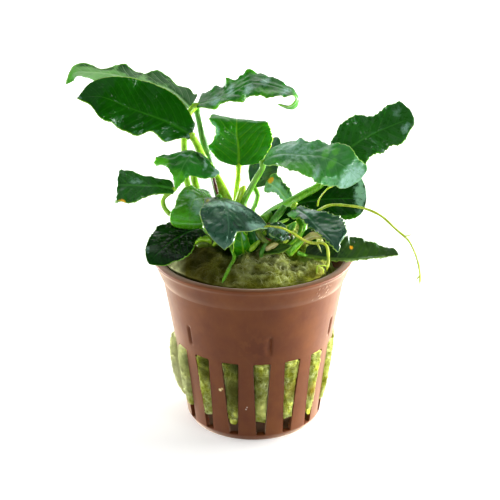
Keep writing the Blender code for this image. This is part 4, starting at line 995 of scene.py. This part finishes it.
# Fleshy stem tissue: smooth waxy skin, lime where it is young and olive where it is old
stem_mats = {}
for label, deep, full, tint in (
    ("lime", "#6CA408", "#90C416", "#C2E050"),
    ("pale", "#A4D01E", "#C8E63C", "#E2F27C"),
    # The shade tone is painted shade: the green darkened for stalks that stand in the shade of the leaves
    ("shade", "#2A640C", "#458A14", "#84B848"),
    ("husk", "#3A1608", "#5C2A12", "#7A4A28"),
    ("green", "#458A08", "#68AC14", "#9CCF44"),
    ("olive", "#3F5A10", "#61801C", "#8EA648"),
    ("root", "#8E9E14", "#B0BE20", "#D8E070"),
):
    mat, tree, shader = start_material(
        f"fleshy stalk, {label}", Roughness=0.3, IOR=1.4, Coat_Weight=0.3, Coat_Roughness=0.1,
        Subsurface_Weight=0.25, Subsurface_Scale=0.0012, Subsurface_Radius=(0.6, 1.0, 0.2),
    )
    place = add(tree, "TexCoord", out="Object")
    upright = add(tree, "Mapping", {"Vector": place, "Scale": (1, 1, 0.1)})
    mottle, strand = [
        add(tree, "TexNoise", {"Vector": on, "Scale": 1 / (mm * MM), "Detail": detail, "Roughness": 0.55})
        for on, mm, detail in ((place, 2.2, 3.0), (upright, 0.35, 2.0))
    ]
    paint = cover(tree, deep, mottle, 0.35, 0.65, 1, full)
    paint = cover(tree, paint, strand, 0.45, 0.75, 0.6, tint)
    tree.links.new(paint, shader.inputs["Base Color"])
    normal = add(tree, "Bump", {"Height": strand, "Strength": 0.4, "Distance": 0.08 * MM})
    tree.links.new(normal, shader.inputs["Normal"])
    stem_mats[label] = mat

run = np.linspace(0, 1, ROD_STEPS)
spine = smooth_curve([p[:3] for p in RHIZOME], run)
thick = smooth_curve([p[3] for p in RHIZOME], run)[:, 0]
scar = 1 + 0.05 * np.sin(44 * run) + 0.03 * np.sin(97 * run)
verts, faces = rod(spine, thick * scar)
make_piece("rhizome_rod", verts, faces, [stem_mats["olive"]], ["rhizome"])


# Leaf stalks
# Round fleshy stalks with fine lengthwise ribs, a bud and the stub of an old stalk, all grown from
# the rhizome. A stalk widens into a sheath at its foot and thickens again just under its blade.
# Each has its path from the top down, its thickness at the top and at the foot, and its tone
STEMS = {
    "stem_01": ([(-16.1, 7.8, 87.1), (-15, 7, 86.5), (-13.5, 6, 79), (-12, 5.5, 73.4),
                 (-10.5, 5, 68.2), (-9, 3.6, 62.6), (-6.6, -0.6, 57.6), (-6, -3.1, 56.9)],
                1.7, 2.4, "shade"),
    "stem_02": ([(-15.3, -3.5, 82.2), (-14.8, -1, 79.5), (-13.3, 1.6, 75), (-10.6, 1.2, 70.8),
                 (-7.8, -1, 66), (-5.6, -5, 61), (-5, -6.1, 58.9)], 1.6, 3.2, "lime"),
    "stem_03": ([(-16, 6.1, 87.9), (-16.8, 4.5, 87), (-18, 3, 84), (-18.5, 3.5, 79.5),
                 (-18.5, 4, 76), (-18, 4.6, 67.5), (-15.2, 5.2, 62), (-9.5, -0.5, 56.5),
                 (-9, -3.7, 55.6)], 1.5, 2.0, "lime"),
    "stem_04": ([(-14, -1.1, 75.3), (-15, 0, 73), (-16, 1.8, 70), (-15, 2.8, 65),
                 (-13, -1, 58.5), (-12.3, -4.8, 56.2)], 1.8, 2.0, "lime"),
    "stem_05": ([(-4, 8.7, 69.5), (-4, 8, 68.2), (-4.5, 6, 64.5), (-4.5, 3, 61.5),
                 (-2, -2.5, 59.2), (-2, -4, 58.3)], 1.7, 2.5, "pale"),
    "stem_06": ([(-22, -5, 67.7), (-23.6, -4.6, 66.2), (-24, -4.5, 64.5), (-23, -4, 62),
                 (-19.5, -3.5, 58.5), (-16.4, -4.8, 56.8), (-14.9, -5.9, 56.2)],
                1.2, 1.4, "lime"),
    "stem_07": ([(-9.8, -0.6, 61), (-9.8, -2.2, 59.5), (-9.8, -5.4, 57.6)],
                1.5, 1.6, "green"),
    "stem_08": ([(-9.2, -4.4, 65.7), (-9.2, -4.6, 62.5), (-8.4, -6.6, 60), (-8, -7.1, 58.6)],
                1.6, 1.9, "green"),
    "stem_09": ([(-13.2, -8.2, 58.1), (-12.8, -8, 57.3)], 1.0, 1.0, "green"),
    "stem_10": ([(2, -2.6, 75), (2.3, -2.9, 73.5), (0, -3, 69.5), (-2.3, -3.5, 65),
                 (-3.2, -5.5, 61.8), (-1.6, -6.8, 59.5)], 1.5, 1.9, "green"),
    "stem_11": ([(21.9, 8, 71.8), (18.5, 7, 66), (14, 6, 63.5), (9.5, 4, 61.5), (6, 0.8, 60.6),
                 (3.6, -3, 60), (2.6, -4.4, 59.4)], 1.9, 2.4, "green"),
    "stem_12": ([(9.1, 8.7, 58.4), (8, 2, 58.4), (7, -4.2, 58.1)], 1.4, 1.6, "green"),
    "stem_13": ([(-0.4, 16.8, 61), (1.2, 14, 60), (0.6, 10, 58.5), (-0.4, 5, 57.5),
                 (1.5, -1, 56.4), (1.5, -3, 56.3)], 1.6, 1.9, "green"),
    "stem_14": ([(9.5, 11.2, 58.2), (7, 9.5, 57.2), (5.4, 5, 57), (4.8, -1, 56.6), (4.8, -3, 56.3)],
                1.2, 1.4, "green"),
    "stem_15": ([(10.3, -0.8, 60.8), (12.2, -2.6, 59.3), (13.2, -5, 58.3), (12.8, -7.4, 56.8),
                 (11, -9.8, 54.8), (8.6, -11, 52.9)], 1.8, 2.6, "green"),
    "stem_16": ([(12.8, -12, 53), (11.6, -12.2, 53.2)], 1.0, 1.0, "green"),
    "bud_01": ([(-2.3, -1.2, 68.2), (-2.9, -1.2, 66.4), (-3.4, -1.4, 63.8), (-3.6, -1.8, 61.4)],
               2.0, 3.8, "pale"),
    "stub_01": ([(0.6, -10.4, 59.4), (1.4, -10.8, 58.2), (2.4, -11.3, 57), (3.7, -11.6, 55.8)],
                2.2, 1.4, "olive"),
}
STALK_SIDES = 20
STALK_RIDGES = 9
RIDGE_HEIGHT = 0.025
COLLAR = 0.25
SHEATHING = 0.2
for name, (path, top, foot, tone) in STEMS.items():
    points = [np.array(p, float) for p in path]
    leaf = LEAVES.get(name.replace("stem", "leaf"))
    if leaf:
        joint, beyond = [np.array(p, float) for p in leaf["rib"][:2]]
        points = [joint + unit(beyond - joint) * 0.8, joint] + points[1:]
    length = sum(np.linalg.norm(b - a) for a, b in zip(points, points[1:]))
    steps = max(12, int(length / 0.5))
    line, _ = even_points(points, steps)
    share = np.linspace(0, 1, steps + 1)
    radii = (top + (foot - top) * share) / 2
    radii *= 1 + COLLAR * np.exp(-(((share - 0.03) / 0.05) ** 2)) + SHEATHING * share**6
    radii *= np.clip(share * length / 0.9, 0.25, 1)
    turn = 2 * math.pi * np.arange(STALK_SIDES) / STALK_SIDES
    ridged = 1 + RIDGE_HEIGHT * np.sin(STALK_RIDGES * turn)[None] * np.ones((steps + 1, 1))
    verts, faces = rod(line, radii, STALK_SIDES, (0.3, 0.9, 0.2), ridged)
    make_piece(f"{name}_stalk", verts, faces, [stem_mats[tone]], [name])


# Young sheath
# A leaf sheath still rolled around its bud, bright green and soft, in front of the rhizome.
SHEATH = dict(
    rib=[(-2.4, -11.8, 51.4), (-2.7, -13.0, 54.5), (-3.1, -13.2, 57.4), (-3.5, -12.6, 60.4)],
    face=[(0.3, -0.9, 0.2)], waves=(2, 0.3, 0, 0.3), cup=(-12, -22), frill=0.5, quilt=0.1,
    left=(2.0, 2.6, 2.7, 2.2, 1.4, 0.7), right=(2.6, 3.8, 4.0, 3.2, 1.6, 0.6), crumple=0.6,
    marks=[("young", 0.6, 0.8, 0.5, 0.3, 1), ("pale", 0.75, 0.3, 0.12, 0.2, 1.1),
           ("deep", 0.1, 0, 0.2, 0.6, 0.7)],
)
points, faces, picks, layers = blade(SHEATH, 70)
pair = [leaf_mats["bright"], leaf_mats["mid"]]
make_piece("sheath_01_leaf", points, faces, pair, ["sheath_01"], picks, layers)


# Crown
# Small growth between the stalks: curled new leaves, old stalk bases, a torn dry scale and two
# lime buds on the rhizome. All of it grows out of the rhizome.
CROWN_RODS = {
    "strand": ("shade", [
        (3.4, -12, 56, 0.35), (2.6, -12.6, 54.8, 0.6), (2.1, -13, 53.5, 0.6), (1.9, -13, 52.1, 0.5)]),
    "lime_stalk": ("lime", [
        (-1, -11.8, 53.5, 0.5), (-0.2, -11.4, 54.5, 0.85), (1.2, -10.8, 56.1, 0.8), (2.8, -10, 57.7, 0.6),
        (4.7, -9, 59.2, 0.5), (7.1, -7.5, 60, 0.45), (9.5, -6.5, 60.7, 0.3)]),
    "dark_stalk": ("shade", [
        (3.6, -7, 58, 0.6), (5.2, -5.5, 59.7, 0.9), (7.1, -3.5, 61.4, 1), (8.5, -2, 62.7, 0.9)]),
    "pale_bit": ("pale", [
        (7.9, -12.3, 56.2, 0.25), (8.5, -12.4, 56.6, 0.45), (9.2, -12.3, 56.9, 0.25)]),
    "lime_bit": ("lime", [
        (10.0, -5, 63.2, 0.3), (10.5, -5, 63.8, 0.6), (11.2, -4.8, 64.3, 0.6), (11.6, -4.6, 64.6, 0.3)]),
    "thin_edge": ("lime", [
        (13.2, -13, 56.9, 0.15), (12.2, -13.2, 55.7, 0.25), (11.2, -13.4, 54.5, 0.28),
        (9.9, -13.6, 52.9, 0.2)]),
    "left_bud": ("lime", [
        (-15.2, -9.3, 54.7, 0.3), (-14.5, -9.6, 56.0, 0.8), (-13.3, -9.8, 56.5, 0.95),
        (-12.0, -9.8, 56.0, 0.8), (-11.1, -9.6, 54.9, 0.3)]),
    "small_bud": ("lime", [
        (-10.7, -10.5, 54.6, 0.25), (-9.9, -10.6, 55.6, 0.5), (-8.8, -10.8, 56.1, 0.45),
        (-8.3, -10.8, 55.5, 0.2)]),
    "stalk_line": ("lime", [
        (13.0, -9.2, 59.7, 0.15), (12.5, -10.4, 58.1, 0.2), (11.2, -11.4, 56.6, 0.22),
        (9.4, -12.2, 55.2, 0.2), (7.2, -13.0, 53.9, 0.15)]),
    "husk_a": ("husk", [(2.5, -9.5, 59.2, 0.2), (3.5, -9.6, 60.1, 0.3), (4.4, -9.6, 60.7, 0.2)]),
    "husk_b": ("husk", [(9.0, -11.2, 56.9, 0.2), (9.5, -11.3, 57.8, 0.35), (10.0, -11.3, 58.6, 0.2)]),
    "husk_c": ("husk", [(2.3, -10.8, 57.8, 0.2), (3.3, -11.4, 57.1, 0.3), (4.6, -11.8, 56.6, 0.2)]),
    "sheath_stripe": ("husk", [
        (-10.7, -0.6, 71.2, 0.2), (-10.4, -1.5, 69.4, 0.45), (-9.9, -2.6, 67.7, 0.5),
        (-9.3, -3.8, 66.2, 0.2)]),
}
for name, (tone, path) in CROWN_RODS.items():
    run = np.linspace(0, 1, 12 * len(path))
    line = smooth_curve([p[:3] for p in path], run)
    girth = smooth_curve([p[3] for p in path], run)[:, 0]
    girth *= np.clip(np.sin(math.pi * (0.03 + 0.94 * run)) * 5, 0.3, 1)
    verts, faces = rod(line, girth, 14, (0.2, 0.95, 0.25))
    make_piece(f"crown_{name}", verts, faces, [stem_mats[tone]])

CROWN_LEAVES = {
    "lime_flap": dict(
        rib=[(9.4, -11, 58.4), (9.7, -11.2, 59.6), (10.4, -11.2, 60.7), (11.2, -11.0, 61.4)],
        face=[(0, -0.8, 0.5)], waves=(2, 0.2, 0, 0.3), cup=(10, 10), look="fresh",
        left=(0.4, 0.9, 0.8, 0.4), right=(0.4, 0.8, 0.9, 0.5)),
    "back_fin": dict(
        rib=[(-0.7, -11.0, 52.8), (0.2, -11.4, 55.4), (-0.3, -11.6, 58), (-1.4, -11.2, 59.8)],
        face=[(0.2, -0.9, 0.2)], waves=(2, 0.3, 0, 0.3), cup=(-10, -10), look="deep", crumple=0.3,
        left=(0.8, 1.4, 1.6, 1.4, 0.7), right=(0.8, 1.5, 1.7, 1.5, 0.8),
        marks=[("pale", 0.6, 0.8, 0.2, 0.3, 1)]),
    # A dark leaf set behind the crown where there is only shade between the stalks: painted shadow
    "shadow_leaf": dict(
        rib=[(2.5, -3, 58.6), (7, -2.6, 60.2), (12.5, -2.4, 61.4)],
        face=[(0, -0.95, 0.3)], waves=(2, 0.2, 0, 0.3), look="dark",
        left=(1, 1.9, 2, 1.9, 1), right=(1.6, 2.8, 3, 2.8, 1.6)),
    "dry_scale": dict(
        rib=[(3.2, -12.9, 54.2), (4.3, -13.1, 55.0), (5.4, -13, 55.6), (6.5, -12.8, 56.0)],
        face=[(0, -0.8, 0.6)], waves=(2, 0.1, 0, 0.3), look="dead",
        left=(0.5, 0.9, 0.9, 0.5), right=(0.4, 0.6, 0.6, 0.3)),
    "crinkled_bit": dict(
        rib=[(5.2, -10.8, 56.6), (6.6, -11.6, 57.6), (8.2, -12, 58), (9.6, -12, 57.2)],
        face=[(0.1, -0.7, 0.7)], waves=(2, 0.5, 0, 0.3), look="wet", crumple=0.7,
        left=(0.8, 1.3, 1.4, 1.2, 0.6), right=(0.6, 1, 1.1, 0.9, 0.5)),
}
for number, (name, leaf) in enumerate(CROWN_LEAVES.items()):
    points, faces, picks, layers = blade(leaf, 80 + number)
    pair = [leaf_mats[leaf["look"]], leaf_mats["dull"]]
    make_piece(f"crown_{name}", points, faces, pair, (), picks, layers)


# Roots
# Smooth yellow-green roots that grow out of the rhizome through the air and down over the rim,
# with short side rootlets. Each is its path and its thickness at both ends.
ROOTS = {
    "root_01": ([(8.9, -4.7, 57), (10.5, -2.2, 57.5), (15, -1, 58.5), (17.5, -2, 61.5),
                 (20.5, -5, 64), (24, -8, 65), (28.5, -11, 65.3), (33, -13, 63.9),
                 (37, -14, 60.5), (40.6, -15, 57.3), (42.8, -15, 52.4), (43.7, -15, 48.3),
                 (43.8, -15, 45.2)], 0.85, 0.5),
    "root_02": ([(2.3, -12.3, 60.4), (3.8, -14, 61.4), (5.8, -15.3, 61.7), (7.9, -15.5, 61.2),
                 (10.5, -15.5, 59.8), (13.4, -15.5, 57.9), (15.5, -15.6, 57.3), (17.8, -15.8, 57.4),
                 (19.1, -16, 56.3), (19.5, -16, 53.3), (19.3, -16, 50.8), (19.2, -15.8, 49.8)], 0.5, 0.85),
    "root_03": ([(17.1, -3.4, 63.2), (17.6, -4, 65.5), (19.5, -5, 68.5), (21, -6, 69.5)], 0.45, 0.35),
    "root_04": ([(-5.9, -10.3, 54.8), (-5.6, -12, 54), (-5, -15, 53), (-6, -18, 52),
                 (-7, -21.5, 51), (-8, -23.5, 49.5)], 0.9, 0.9),
}
ROOTLETS = {
    "rootlet_a": ([(39.2, -14.7, 58.8), (40.6, -14.6, 59.1), (40.9, -14.4, 60.1)], 0.4, 0.15),
    "rootlet_b": ([(43.7, -15, 47.8), (43.0, -15.2, 47.0), (42.6, -15.4, 46.0)], 0.4, 0.2),
    "rootlet_c": ([(16.4, -15.6, 57.4), (17.0, -16, 56.4), (17.7, -16.2, 54.9)], 0.55, 0.2),
    "rootlet_d": ([(16.6, -17, 48.6), (16.5, -17.2, 50.4), (16.8, -17.3, 51.6), (18.1, -17.3, 51.7),
                   (19.4, -16.6, 51.2)], 0.2, 0.3),
    "rootlet_e": ([(17.3, -17.3, 51.6), (18.3, -17, 50.3), (17.9, -17, 48.8)], 0.2, 0.15),
    "rootlet_f": ([(30.0, -12, 64.9), (30.4, -12, 65.5), (30.5, -11.8, 66.2)], 0.3, 0.15),
}
for name, (path, top, tip) in {**ROOTS, **ROOTLETS}.items():
    steps = 12 * len(path)
    line, length = even_points(path, steps)
    share = np.linspace(0, 1, steps + 1)
    radii = (top + (tip - top) * share) / 2 * (1 + 0.08 * np.sin(share * length * 1.3))
    radii *= np.clip((1 - share) * length / 1.2, 0.3, 1)
    verts, faces = rod(line, radii, 12, (0.15, 1.0, 0.3))
    tone = "green" if name == "root_04" else "pale" if name in ("rootlet_d", "rootlet_e") else "root"
    make_piece(f"{name}_skin", verts, faces, [stem_mats[tone]], [name] if name in ROOTS else ())


# Floor and light
# White paper that fades to pure white far off, a big soft light above and behind the plant, and
# low strips beside and a little behind it, which make the pale glow along the pot's sides and
# leave its middle dark. The two at the front are small and weak.
FLOOR_HALF = 1.5
floor_mesh = bpy.data.meshes.new("floor")
corners = [(FLOOR_HALF * x, FLOOR_HALF * y, 0) for x, y in ((-1, -1), (1, -1), (1, 1), (-1, 1))]
floor_mesh.from_pydata(corners, [], [(0, 1, 2, 3)])
floor = bpy.data.objects.new("floor", floor_mesh)
bpy.context.scene.collection.objects.link(floor)
paper, tree, shader = start_material("matt white paper", Roughness=0.9, Specular_IOR_Level=0.1)
place = add(tree, "TexCoord", out="Object")
cloud = {"Vector": place, "Scale": 1 / (60.0 * MM), "Detail": 3.0, "Roughness": 0.55}
paint = cover(tree, "#E9E9E8", add(tree, "TexNoise", cloud), 0.4, 0.6, 0.5, "#E5E5E4")
tree.links.new(paint, shader.inputs["Base Color"])
shader.inputs["Emission Color"].default_value = (1, 1, 1, 1)
glow = add(tree, "MapRange", [near(tree, (0, 0, 0), 250, 900), 1, 0, 0.36, 1])
tree.links.new(glow, shader.inputs["Emission Strength"])
floor_mesh.materials.append(paper)

# The low strips don't reach the leaf blades, as if flags stood in front of them
low_lit = bpy.data.collections.new("lit from below")
for item in list(bpy.data.objects):
    if item.type == "MESH" and not item.name.endswith("_blade"):
        low_lit.objects.link(item)

# Each light has its place, its size and its power in metres and watts
LIGHTS = {
    "top_back": ((0.0, 0.75, 0.8), (1.15, 1.15), 7.4),
    "top": ((0.0, -0.3, 1.1), (1.0, 1.0), 1.9),
    "left": ((-0.82, 0.45, 0.08), (0.9, 0.15), 12.0),
    "right": ((0.85, 0.36, 0.08), (0.9, 0.15), 24.0),
    "low_left": ((-0.82, 0.45, 0.08), (0.9, 0.15), 14.0),
    "low_right": ((0.85, 0.36, 0.08), (0.9, 0.15), 36.0),
    "front_left": ((-0.8, -0.7, 0.35), (0.18, 0.18), 2.3),
    "front_right": ((0.8, -0.7, 0.35), (0.18, 0.18), 2.8),
}
for name, (place, size, power) in LIGHTS.items():
    lamp = bpy.data.lights.new(name, "AREA")
    lamp.shape = "RECTANGLE"
    lamp.size, lamp.size_y = size
    lamp.energy = power
    item = bpy.data.objects.new(name, lamp)
    bpy.context.scene.collection.objects.link(item)
    item.location = place
    aim = np.array([0, 0, 0.06]) - np.array(place)
    tilt = math.atan2(math.hypot(aim[0], aim[1]), -aim[2])
    item.rotation_euler = (tilt, 0, math.atan2(-aim[0], aim[1]))
    item.visible_camera = False
    if name.startswith("low"):
        item.light_linking.receiver_collection = low_lit

world = bpy.data.worlds.new("studio")
bpy.context.scene.world = world
world.use_nodes = True
tree = world.node_tree
seen = add(tree, "LightPath", out="Is Camera Ray")
dim = add(tree, "Background", {"Color": (1, 1, 1, 1), "Strength": 0.08})
white = add(tree, "Background", {"Color": (1, 1, 1, 1), "Strength": 1.0})
mix = add(tree, "MixShader", [seen, dim, white])
tree.links.new(mix, tree.nodes["World Output"].inputs["Surface"])
bpy.context.scene.view_settings.view_transform = "Standard"
